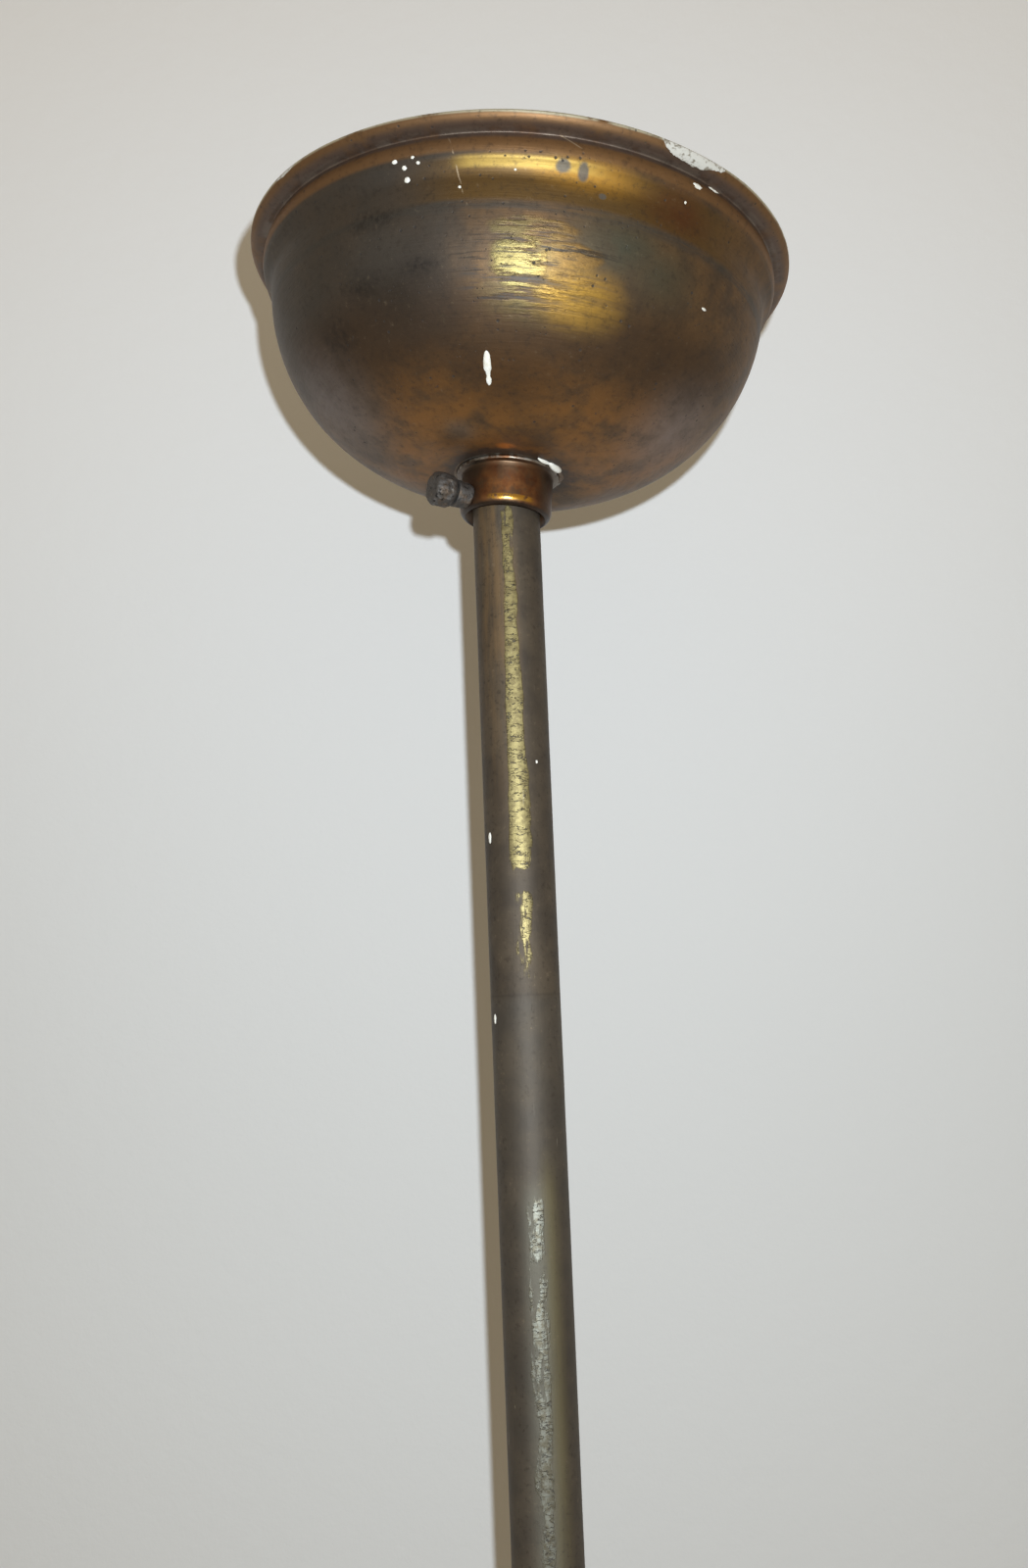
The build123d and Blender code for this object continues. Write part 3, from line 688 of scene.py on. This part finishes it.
def rod_material():
    """Drawn brass tube under dark, flaking lacquer, worn to the metal along its front."""
    g = Graph("rod_brass")
    where = g.local()
    x, y, z = g.split(where)
    long_cloud = g.noise(g.stretched(where, 1.0, 1.0, 0.12), 4.0, 4.0, 0.6, seed=50)
    flake = g.noise(g.stretched(where, 1.0, 1.0, 0.22), 2.0, 5.0, 0.62, seed=51)
    chips = g.noise(where, 1.1, 4.0, 0.7, seed=52)
    mottle = g.noise(where, 9.0, 4.0, 0.6, seed=53)
    grain = g.noise(g.stretched(where, 1.0, 1.0, 0.05), 0.35, 2.0, 0.6, seed=54)

    # Lacquer: brown, coppery up on the left, with an olive band right of the middle.
    g.color = g.mix(g.step(mottle, 0.3, 0.7), (72, 64, 55), (91, 80, 66))
    olive = g.product(g.band(x, 2.0, 5.0, 1.6), g.step(long_cloud, 0.3, 0.6))
    olive = g.product(olive, g.band(z, -520.0, -222.0, 8.0))
    g.coat(olive, (116, 104, 66), 0.8)
    copper = g.product(g.band(x, -6.8, 1.4, 1.6), g.step(z, -160.0, -90.0))
    copper = g.product(copper, g.step(long_cloud, 0.34, 0.6))
    g.coat(copper, (120, 96, 66), 0.8)
    grey = g.product(g.band(z, -340.0, -184.0, 1.5), 0.3)
    g.coat(grey, (84, 80, 73))

    freckle = g.product(g.step(chips, 0.46, 0.36), g.step(long_cloud, 0.62, 0.42), 0.5)
    g.coat(freckle, (50, 43, 36))
    dusty = g.product(g.step(chips, 0.58, 0.68), g.step(mottle, 0.4, 0.6), 0.35)
    g.coat(dusty, (128, 112, 90))

    # The worn stripe down the front comes and goes. Its upper half is gold and its lower half grey.
    top = g.step(z, -150.0, -85.0)
    off_line = g.away(x, 0.2)
    stripe = g.step(g.product(off_line, g.blend(top, 1.0, 1.5)), 3.9, 1.2)
    facing = g.step(y, -3.0, -6.0)
    upper = g.product(g.band(z, -156.0, -70.0, 2.5), g.blend(g.step(z, -90.0, -110.0), 0.8, 1.0))
    middle = g.band(z, -181.0, -160.0, 1.5)
    thin = g.band(z, -222.0, -183.0, 3.0)
    patchy = g.blend(g.step(long_cloud, 0.36, 0.56), 0.72, 1.0)
    lower = g.product(g.band(z, -520.0, -226.0, 5.0), patchy)
    amounts = (upper, g.product(middle, 0.62), g.product(thin, 0.24), g.product(lower, 0.72))
    wear = g.product(stripe, facing, g.most(*amounts))
    worn = g.step(g.scaled(flake, 1.15, g.product(wear, 0.72)), 0.97, 1.07)
    worn = g.product(worn, g.step(wear, 0.02, 0.2))
    stray = g.product(g.step(flake, 0.70, 0.74), g.step(long_cloud, 0.5, 0.6))
    bare = g.most(worn, stray)
    metal = g.mix(g.step(z, -190.0, -178.0), (128, 127, 116), (130, 118, 80))
    metal = g.mix(g.product(g.step(chips, 0.58, 0.40), 0.6), metal, (88, 77, 54))
    bright = g.product(g.step(flake, 0.62, 0.72), g.step(chips, 0.47, 0.62), 0.8)
    metal = g.mix(bright, metal, (176, 168, 136))
    # Painted sheen, partly worn lacquer: a soft paler band down the front of the lower rod.
    haze = g.product(g.step(g.away(x, 0.4), 5.0, 0.0), lower, 0.5)
    g.coat(haze, (120, 118, 104))

    # Cracks and black chips in the worn stripe.
    cracks = g.noise(g.stretched(where, 0.35, 0.35, 1.0), 1.7, 3.0, 0.6, seed=57)
    crack = g.product(g.step(g.away(cracks, 0.5), 0.014, 0.004), worn)
    chip = g.product(g.step(chips, 0.34, 0.28), g.step(wear, 0.2, 0.5))
    black = g.most(crack, chip)
    ring = g.product(g.band(z, -183.8, -183.4, 0.3), 0.3)

    g.coat(bare, metal)
    g.coat(black, (44, 38, 32), 0.8)
    g.coat(ring, (50, 44, 38))
    scratch_noise = g.noise(g.stretched(where, 1.0, 1.0, 0.045), 0.55, 2.0, 0.5, seed=56)
    scratch = g.product(g.step(scratch_noise, 0.71, 0.76), g.step(long_cloud, 0.46, 0.6), 0.6)
    g.coat(scratch, (170, 160, 142))
    rough = g.blend(bare, g.blend(mottle, 0.58, 0.70), 0.5)
    metallic = g.blend(g.product(black, 0.7), g.blend(bare, 0.6, 0.95), 0.2)
    g.height(
        (grain, 0.02),
        (bare, -0.05),
        (chips, 0.04),
        (black, -0.04),
        (mottle, 0.1),
        (scratch, -0.03),
    )
    return g.finish(rough, metallic)


def turned_brass_material():
    """Dull turned brass for the small parts."""
    g = Graph("turned_brass")
    where = g.object_mm()
    mottle = g.noise(where, 3.0, 4.0, 0.6, seed=60)
    rings = g.noise(g.stretched(where, 0.06, 0.06, 1.0), 0.3, 2.0, 0.6, seed=61)
    g.color = g.mix(g.step(mottle, 0.3, 0.7), (146, 112, 62), (196, 158, 92))
    g.coat(g.step(g.noise(where, 1.2, seed=62), 0.4, 0.3), (84, 66, 44))
    g.height((rings, 0.025), (mottle, 0.05))
    return g.finish(g.blend(mottle, 0.3, 0.46), 0.95)


def plated_steel_material():
    """Zinc plate: grey spangle, dull, with a few rust spots."""
    g = Graph("plated_steel")
    where = g.object_mm()
    spangle = g.cells(where, 5.0, 70.0)
    mottle = g.noise(where, 8.0, 4.0, 0.6, seed=71)
    g.color = g.mix(g.step(spangle, 0.1, 0.7), (158, 158, 154), (190, 190, 184))
    g.coat(g.step(mottle, 0.58, 0.72), (132, 118, 98))
    rust = g.step(g.noise(where, 2.2, 4.0, 0.65, seed=72), 0.68, 0.74)
    g.coat(rust, (122, 74, 42))
    brushed = g.noise(g.stretched(where, 0.03, 1.0, 1.0), 0.5, 2.0, 0.5, seed=73)
    g.height((brushed, 0.02), (mottle, 0.05), (rust, 0.05))
    return g.finish(g.blend(mottle, 0.34, 0.5), g.blend(rust, 0.95, 0.1))


def rivet_steel_material():
    """Drawn steel of the pins and rivets, grey and a little oily."""
    g = Graph("rivet_steel")
    where = g.object_mm()
    mottle = g.noise(where, 2.2, 4.0, 0.6, seed=80)
    g.color = g.mix(g.step(mottle, 0.35, 0.7), (150, 148, 144), (110, 100, 88))
    g.height((g.noise(where, 0.4, seed=81), 0.015), (mottle, 0.04))
    return g.finish(g.blend(mottle, 0.28, 0.44), 0.95)


def hanger_iron_material():
    """Cast iron of the link and fork: dark, with a sand-cast skin."""
    g = Graph("hanger_iron")
    where = g.object_mm()
    skin = g.noise(where, 0.7, 5.0, 0.7, seed=90)
    rust = g.noise(where, 3.5, 4.0, 0.6, seed=91)
    g.color = g.mix(g.step(rust, 0.45, 0.66), (74, 70, 66), (104, 72, 48))
    g.height((skin, 0.16), (rust, 0.08))
    return g.finish(g.blend(skin, 0.45, 0.7), 0.6)


def rubber_material():
    """Matt black rubber with a dusty bloom."""
    g = Graph("rubber")
    where = g.object_mm()
    bloom = g.noise(where, 3.0, 4.0, 0.6, seed=95)
    g.height((g.noise(where, 0.5, seed=96), 0.03))
    g.color = g.mix(g.step(bloom, 0.4, 0.75), (30, 30, 30), (72, 70, 66))
    return g.finish(0.75, 0.0)


def paint_material():
    """Dry white ceiling paint, slightly yellowed."""
    g = Graph("ceiling_paint")
    where = g.local()
    tone = g.noise(where, 1.5, 3.0, 0.6, seed=98)
    g.height((g.noise(where, 0.6, seed=99), 0.03))
    g.color = g.mix(g.step(tone, 0.3, 0.7), (232, 230, 222), (214, 208, 192))
    return g.finish(0.5, 0.0)


# --- pieces ---


def add_dome(material):
    """The spun dome, with the shallow dents and the slightly bent lip of a long-used one."""

    def shift(angle, radius, height):
        point = turned(radius, angle, height)
        dent = 0.13 * lump(point, 24, 3.1) + 0.05 * lump(point, 9, 5.7) - DOME_DENT
        edge = max(0.0, 1 + height / 3)
        bend = 0.22 * edge * (lump(point, 30, 8.3) - 0.8)
        return radius + dent * min(1.0, radius / 30), height + bend

    outside, inside = dome_outside(), dome_inside()
    segments = 256
    dome = lathe("dome", outside + inside, CANOPY, material, segments, shift)
    flags = dome.data.attributes.new("inside", "FLOAT", "POINT")
    flags.data.foreach_set("value", ([0.0] * len(outside) + [1.0] * len(inside)) * segments)
    return dome


def add_neck(material):
    """Flange, body and round nose, with the spun lip that holds it in the dome."""
    lip_radius = NECK_HOLE_RADIUS + NECK_LIP_WIDTH
    hole = NECK_HOLE_RADIUS - CLEARANCE
    top = -FLANGE_TOP
    under = top - FLANGE_THICKNESS
    profile = [(NECK_BORE_RADIUS, NECK_HIGH), (lip_radius, NECK_HIGH)]
    profile += [(lip_radius, NECK_HIGH - 0.75), (hole, NECK_HIGH - 0.8)]
    profile += [(hole, top), (FLANGE_RADIUS - 0.3, top)]
    profile += [(FLANGE_RADIUS - 0.08, top - 0.12), (FLANGE_RADIUS, top - 0.35)]
    profile += [(FLANGE_RADIUS, under + 0.35), (FLANGE_RADIUS - 0.08, under + 0.12)]
    profile += [(FLANGE_RADIUS - 0.3, under), (NECK_RADIUS + 0.4, under)]
    profile += [(NECK_RADIUS + 0.12, under - 0.12), (NECK_RADIUS, under - 0.4)]
    start, straight = under - 0.4, NECK_LOW + NECK_NOSE
    profile += [(NECK_RADIUS, start + (straight - start) * share) for share in shares(8, 1)]
    nose_end = math.acos((NECK_BORE_RADIUS - NECK_RADIUS + NECK_NOSE) / NECK_NOSE)
    for share in shares(10, 1):
        angle = share * nose_end
        radius = NECK_RADIUS - NECK_NOSE + NECK_NOSE * math.cos(angle)
        profile.append((radius, straight - NECK_NOSE * math.sin(angle)))

    def shift(angle, radius, height):
        wear = 0.05 * (lump(turned(radius, angle, height), 5, 2.2) - 0.9)
        return radius + wear * (radius > NECK_BORE_RADIUS + 0.1), height

    return lathe("neck", profile, CANOPY, material, 160, shift)


def add_solder(material):
    """Fillet between flange and bowl: a thin line, with lumps on the right and behind."""
    low, _, reach = span_in(CANOPY, "neck_solder")
    inner = FLANGE_RADIUS + SEAM

    def seat_under(radius):
        return -bowl_depth_at(radius) - 0.04

    def shift(angle, radius, height):
        point = turned(radius, angle, height)
        side = 0.5 - 0.5 * math.cos(angle + 0.5)
        heap = 0.08 + side * max(0.0, 0.6 + 0.5 * lump(point, 3.2, 6.6))
        heap = min(1.0, heap)
        radius = inner + (radius - inner) * (0.15 + 0.85 * heap)
        seat = seat_under(radius)
        return radius, seat - max(0.0, seat - height) * heap

    width = reach - inner
    edge = -bowl_depth_at(reach)
    profile = [(inner + width * share, seat_under(inner + width * share)) for share in shares(8)]
    for share in shares(8, 1):
        profile.append((reach - width * share, edge - (edge - low) * share**1.6))
    return lathe("solder_fillet", profile, CANOPY, material, 160, shift)


def add_boss(material):
    """Lumpy brazed boss that the thumb screw is threaded through."""
    up = SCREW.inverted().to_3x3() @ canopy_up.normalized()
    up = up.xy.normalized()
    bore = SCREW_RADIUS + CLEARANCE
    end = BOSS_END - 0.05
    profile = [(bore, 0.0), (bore, end - 0.3), (bore + 0.3, end)]
    profile += [(bore + 0.3 + (BOSS_RADIUS - 1.1 - bore) * s, end) for s in shares(3, 1)]
    for share in shares(6, 1):
        turn = share * math.pi / 2
        profile.append((BOSS_RADIUS - 0.8 + 0.8 * math.sin(turn), end - 0.8 + 0.8 * math.cos(turn)))
    profile += [(BOSS_RADIUS, (end - 0.8) * (1 - s)) for s in shares(10, 1)]

    def shift(angle, radius, height):
        point = Vector(turned(radius, angle, height)).xy
        across = (point - up * point.dot(up)).length
        neck = math.sqrt((NECK_RADIUS + CLEARANCE) ** 2 - across**2)
        height = neck + (end - neck) * height / end
        wear = 0.22 * (lump((point.x, point.y, height), 1.7, 7.7) - 0.9)
        return radius + wear * max(0.0, (radius - bore) / (BOSS_RADIUS - bore)), height

    return lathe("screw_boss_body", profile, SCREW, material, 96, shift)


def add_thumb_screw(material):
    """Worn round head with blunt ribs, on a threaded shank."""
    head_start = SCREW_END - SCREW_HEAD_LENGTH
    ribs = 15
    ends = (SCREW_TIP, head_start + 0.3)
    shank = threaded_tube(
        "thumb_screw_shank", ends, SCREW_RADIUS, 0.0, SCREW_PITCH, SCREW, material, tip=0.5
    )
    edge = 1.5
    face = SCREW_HEAD_RADIUS - edge
    quarter = [share * math.pi / 2 for share in shares(6, 1)]
    profile = [(0.02, head_start), (SCREW_RADIUS, head_start)]
    profile += [(SCREW_RADIUS + (face - SCREW_RADIUS) * s, head_start) for s in shares(5, 1)]
    for turn in quarter:
        profile.append((face + edge * math.sin(turn), head_start + edge - edge * math.cos(turn)))
    length = SCREW_HEAD_LENGTH - 2 * edge
    profile += [(SCREW_HEAD_RADIUS, head_start + edge + length * s) for s in shares(10, 1)]
    for turn in quarter:
        profile.append((face + edge * math.cos(turn), SCREW_END - edge + edge * math.sin(turn)))
    profile += [(face * (1 - s) + 0.02, SCREW_END - 0.35 * s) for s in shares(8, 1)]

    def shift(angle, radius, height):
        point = turned(radius, angle, height)
        outer = max(0.0, radius / SCREW_HEAD_RADIUS - 0.75) * 4
        rib = 0.05 * outer * (math.cos(ribs * angle) - 1)
        wear = 0.26 * (lump(point, 1.8, 4.4) - 0.9) + 0.16 * (lump(point, 0.8, 1.9) - 0.9)
        return max(0.01, radius + rib + wear * min(1.0, radius / 2)), height

    head = lathe("thumb_screw_head", profile, SCREW, material, 144, shift)
    return shank, head


def add_rod(material):
    """The tube, very slightly uneven, with rounded ends."""
    inner = ROD_RADIUS - ROD_WALL
    edge = 0.25
    length = ROD_HIGH - ROD_LOW - 2 * edge
    profile = [(inner, ROD_LOW), (ROD_RADIUS - edge, ROD_LOW)]
    profile += [(ROD_RADIUS, ROD_LOW + edge + length * share) for share in shares(240)]
    profile += [(ROD_RADIUS - edge, ROD_HIGH), (inner, ROD_HIGH)]

    def shift(angle, radius, height):
        if radius < ROD_RADIUS - edge / 2:
            return radius, height
        point = turned(radius, angle, height * 0.5)
        return radius + 0.035 * (lump(point, 7, 1.3) - 1.0), height

    return lathe("rod_tube", profile, UPRIGHT, material, 128, shift)


def add_nipple(material):
    """Hollow nipple, threaded below its lock nut, with a relief between."""
    return threaded_tube(
        "nipple_thread",
        (NIPPLE_LOW, NIPPLE_HIGH),
        NIPPLE_RADIUS,
        WIREWAY_RADIUS,
        NIPPLE_PITCH,
        UPRIGHT,
        material,
        smooth_from=NUT_LOW - THREAD_RELIEF_WIDTH,
    )


def dome_patch_point(angle, depth):
    """Place, across, down and out of a spot on the dome's outside. angle is in degrees."""

    def at(turn, low):
        if low >= BOWL_TOP_DEPTH:
            radius = bowl_radius_at(low)
        elif low >= BEAD_BOTTOM_DEPTH:
            radius = cove_radius((low - BEAD_BOTTOM_DEPTH) / (BOWL_TOP_DEPTH - BEAD_BOTTOM_DEPTH))
        else:
            share = max(0.0, (low - LIP_DEPTH) / (BEAD_BOTTOM_DEPTH - LIP_DEPTH))
            radius = BEAD_BOTTOM_RADIUS + BEAD_BULGE * math.sin(share * math.pi)
        return Vector(turned(radius - DOME_DENT, turn, -low))

    turn = math.radians(angle)
    place = at(turn, depth)
    down = (at(turn, depth + 0.2) - place).normalized()
    across = Vector((math.cos(turn), math.sin(turn), 0))
    return place, across, down, down.cross(across).normalized()


def flange_patch_point(angle):
    """Just outside the flange's edge, with its length along the edge and facing down."""
    turn = math.radians(angle)
    radial = Vector(turned(1, turn, 0))
    place = radial * (FLANGE_RADIUS + 0.6) + Vector((0, 0, -FLANGE_TOP - 0.15))
    return place, radial, Vector((math.cos(turn), math.sin(turn), 0)), Vector((0, 0, -1))


def rod_patch_point(angle, height):
    """The same on the front of the rod, at a height."""
    turn = math.radians(angle)
    out = Vector(turned(1, turn, 0))
    place = out * (ROD_RADIUS - 0.04) + Vector((0, 0, height))
    return place, Vector((math.cos(turn), math.sin(turn), 0)), Vector((0, 0, -1)), out


def paint_spot(name, spot, place, material, length, width, thickness, waist=0.0, seed=0):
    """A drop of dried paint. spot is its place, across, down and out. waist pinches its middle."""
    centre, across, down, out = spot
    rings, columns = 14, 18
    points = []
    for i in range(rings + 1):
        polar = math.pi * i / rings
        for j in range(columns):
            turn = TURN * j / columns
            u = math.sin(polar) * math.cos(turn)
            h = math.sin(polar) * math.sin(turn)
            v = -math.cos(polar)
            pinch = 1 - waist * math.exp(-((v - 0.35) ** 2) / 0.04)
            ragged = 1 + 0.25 * noise.noise(Vector((u * 1.7, v * 1.7, seed)))
            lift = h * thickness if h > 0 else h * 0.06
            point = centre + across * (u * pinch * ragged * width / 2) + down * (v * length / 2)
            points.append(tuple(point + out * (lift * pinch)))
    faces = []
    for i in range(rings):
        for j in range(columns):
            a, k = i * columns, (j + 1) % columns
            faces.append((a + j, a + k, a + columns + k, a + columns + j))
    return new_piece(name, points, faces, place, material)


# Dried paint on the dome: angle in degrees to the right of the front, depth, length, width,
# thickness, waist.
DOME_PAINT = {
    "paint_drip": (-6.1, 45.4, 8.4, 1.9, 0.45, 0.6),
    "paint_spot_a": (-24.7, 7.4, 0.9, 1.3, 0.2),
    "paint_spot_b": (-22.8, 8.8, 1.0, 1.1, 0.2),
    "paint_spot_c": (-22.6, 10.9, 1.2, 1.4, 0.25),
    "paint_spot_d": (-20.8, 7.2, 0.7, 0.8, 0.15),
    "paint_spot_e": (-19.7, 8.4, 0.7, 0.9, 0.15),
    "paint_spot_f": (-11.2, 13.9, 0.6, 0.7, 0.15),
    "paint_spot_g": (0.0, 10.4, 0.5, 0.6, 0.12),
    "paint_chip_a": (38.9, 5.1, 1.3, 3.2, 0.2, 0.3),
    "paint_chip_b": (44.0, 3.3, 0.8, 3.4, 0.15, 0.3),
    "paint_chip_c": (37.0, 9.2, 0.6, 0.7, 0.12),
    "paint_chip_d": (49.3, 27.4, 0.6, 1.6, 0.12, 0.2),
}

# On the rod: angle, height, length, width, thickness, waist.
ROD_PAINT = {
    "rod_paint_a": (-57.0, -147.8, 2.6, 1.1, 0.25, 0.2),
    "rod_paint_b": (-62.0, -188.6, 2.2, 0.9, 0.22, 0.2),
    "rod_paint_c": (36.0, -131.0, 0.8, 0.6, 0.15),
}

# Round the flange's edge: angle, length, width, thickness, waist.
FLANGE_PAINT = {
    "paint_wedge_a": (44, 5.0, 0.9, 0.7, 0.2),
    "paint_wedge_b": (61, 5.6, 1.8, 1.1),
}


def finish_piece(piece, body, slot, *nodes):
    """Hangs a piece on its body and hides the CAD nodes it stands for. slot is not used."""
    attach(piece, body)
    if nodes:
        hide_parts(*nodes)


dome_brass = dome_material()
neck_brass = neck_material()
rod_brass = rod_material()
turned_brass = turned_brass_material()
screw_steel = screw_material()
paint = paint_material()

finish_piece(add_dome(dome_brass), "canopy", "dome_brass", "canopy_dome")
finish_piece(add_neck(neck_brass), "canopy", "neck_brass", "canopy_neck")
finish_piece(add_boss(screw_steel), "canopy", "neck_brass", "screw_boss")
finish_piece(add_solder(solder_material()), "canopy", "solder", "neck_solder")
shank, head = add_thumb_screw(screw_steel)
finish_piece(shank, "thumb_screw", "screw_steel", "thumb_screw")
finish_piece(head, "thumb_screw", "screw_steel")
finish_piece(add_rod(rod_brass), "drop_rod", "rod_brass", "down_rod")
finish_piece(add_nipple(turned_brass), "drop_rod", "turned_brass", "lower_nipple")

for index, (name, (angle, depth, *shape)) in enumerate(DOME_PAINT.items()):
    spot = paint_spot(name, dome_patch_point(angle, depth), CANOPY, paint, *shape, seed=index)
    finish_piece(spot, "canopy", "dome_brass")
for index, (name, (angle, *shape)) in enumerate(FLANGE_PAINT.items()):
    spot = paint_spot(name, flange_patch_point(angle), CANOPY, paint, *shape, seed=index + 40)
    finish_piece(spot, "canopy", "solder")
for index, (name, (angle, height, *shape)) in enumerate(ROD_PAINT.items()):
    spot = paint_spot(name, rod_patch_point(angle, height), UPRIGHT, paint, *shape, seed=index + 20)
    finish_piece(spot, "drop_rod", "rod_brass")

NODE_MATERIALS = {
    turned_brass: (
        "upper_ferrule",
        "lower_ferrule",
        "upper_lock_nut",
        "lower_lock_nut",
        "earth_screw",
    ),
    plated_steel_material(): ("ceiling_plate", "hanger_strap"),
    rivet_steel_material(): (
        "strap_rivets",
        "upper_clevis_pin",
        "lower_clevis_pin",
        "upper_split_pin",
        "lower_split_pin",
    ),
    hanger_iron_material(): ("cross_link", "rod_fork"),
    rubber_material(): ("cable_grommet",),
}
for material, nodes in NODE_MATERIALS.items():
    for node in nodes:
        materials = frame["nodes"][node].data.materials
        materials.clear()
        materials.append(material)


# --- stage, light and camera ---

PART_MIDDLE = (0.0, 0.0, -120.0)
WALL_BEHIND = 125.0
WALL_WIDTH = 2400.0
WALL_TOP = 800.0
FLOOR_DEPTH = 1000.0


def rectangle(half_width, low, high):
    return (-half_width, low), (half_width, low), (half_width, high), (-half_width, high)


def stage_plane(name, corners, material):
    """A flat piece of the room, between four corners in millimetres."""
    mesh = bpy.data.meshes.new(name)
    mesh.from_pydata([Vector(c) * MM for c in corners], [], [(0, 1, 2, 3)])
    mesh.materials.append(material)
    plane = add_object(name, mesh)


def paler_to_eye(g, share):
    """The material's surface, mixed with an even grey where it is looked at. It lights nothing."""
    grey = g.node("ShaderNodeEmission", {"Color": (0.58, 0.58, 0.57, 1.0)}).outputs[0]
    seen = g.node("ShaderNodeLightPath").outputs["Is Camera Ray"]
    share = g.product(seen, share)
    return g.node("ShaderNodeMixShader", {0: share, 1: g.shader.outputs[0], 2: grey})


def wall_material():
    """Pale painted wall that can be looked through from behind."""
    g = Graph("wall_paint")
    where = g.object_mm()
    g.height((g.noise(where, 6.0, 4.0, 0.6, seed=110), 0.25))
    # Paler towards the top: painted light, as if the lamps lit the wall's upper part more.
    height = g.split(where)[2]
    g.color = g.mix(g.step(height, -250.0, 200.0), (214, 214, 212), (250, 250, 250))
    g.finish(0.9, 0.0)
    facing = g.node("ShaderNodeNewGeometry").outputs["Backfacing"]
    clear = g.node("ShaderNodeBsdfTransparent").outputs[0]
    from_part = g.length(g.vector("SUBTRACT", where, PART_MIDDLE).outputs[0])
    surface = paler_to_eye(g, g.product(g.step(from_part, 340.0, 800.0), 0.8)).outputs[0]
    return g.surface(g.node("ShaderNodeMixShader", {0: facing, 1: surface, 2: clear}))


def floor_material():
    """Pale, slightly rough floor."""
    g = Graph("floor_paint")
    g.height((g.noise(g.object_mm(), 8.0, 4.0, 0.6, seed=111), 0.2))
    g.color = srgb(214, 213, 210)
    g.finish(0.8, 0.0)
    return g.surface(paler_to_eye(g, 0.75))


wall = rectangle(WALL_WIDTH / 2, -FLOOR_DEPTH, WALL_TOP)
floor = rectangle(WALL_WIDTH, -WALL_WIDTH, WALL_WIDTH)
stage_plane("stage_wall", [(x, WALL_BEHIND, z) for x, z in wall], wall_material())
stage_plane("stage_floor", [(x, y, -FLOOR_DEPTH) for x, y in floor], floor_material())

# The camera looks up at the canopy from below it, a little rolled.
CAMERA_PLACE = Vector((-0.7, -369.6, -192.2)) * MM
CAMERA_ELEVATION = math.radians(8.81)
CAMERA_ROLL = math.radians(2.27)
CAMERA_LENS = 37.1
CAMERA_SENSOR = 36.0

camera = add_object("camera", bpy.data.cameras.new("camera"))
camera.data.lens = CAMERA_LENS
camera.data.sensor_width = CAMERA_SENSOR
camera.data.clip_start = 0.01
camera.matrix_world = (
    Matrix.Translation(CAMERA_PLACE)
    @ Matrix.Rotation(math.pi / 2 + CAMERA_ELEVATION, 4, "X")
    @ Matrix.Rotation(-CAMERA_ROLL, 4, "Z")
)
bpy.context.scene.camera = camera


def area_light(name, place, target, width, watts, color):
    """A round lamp at place, in millimetres, that faces target."""
    lamp = bpy.data.lights.new(name, "AREA")
    lamp.shape = "DISK"
    lamp.size = width * MM
    lamp.energy = watts
    lamp.color = color
    place, target = Vector(place) * MM, Vector(target) * MM
    facing = (target - place).to_track_quat("-Z", "Y").to_matrix().to_4x4()
    add_object(name, lamp).matrix_world = Matrix.Translation(place) @ facing


# The cool key sits beside the lens, just right of and above it. The rear light is warm.
area_light("key", (14, -372, -166), (0, 0, -140), 6, 2.0, (0.80, 0.90, 1.0))
area_light("rear", (500, 1700, 500), (0, 0, -200), 1200, 9, (1.0, 0.93, 0.82))

# The room's light is warm, and what shows of it beyond the wall is grey.
world = bpy.data.worlds.new("studio")
bpy.context.scene.world = world
world.use_nodes = True
sky = world.node_tree
warm = sky.nodes["Background"]
warm.inputs["Color"].default_value = (1.0, 0.81, 0.55, 1.0)
warm.inputs["Strength"].default_value = 0.36
grey = sky.nodes.new("ShaderNodeBackground")
grey.inputs["Color"].default_value = (0.62, 0.62, 0.62, 1.0)
seen = sky.nodes.new("ShaderNodeLightPath").outputs["Is Camera Ray"]
choose = sky.nodes.new("ShaderNodeMixShader")
for socket, source in zip(choose.inputs, (seen, warm.outputs[0], grey.outputs[0])):
    sky.links.new(source, socket)
sky.links.new(choose.outputs[0], sky.nodes["World Output"].inputs["Surface"])

bpy.context.scene.view_settings.view_transform = "Standard"
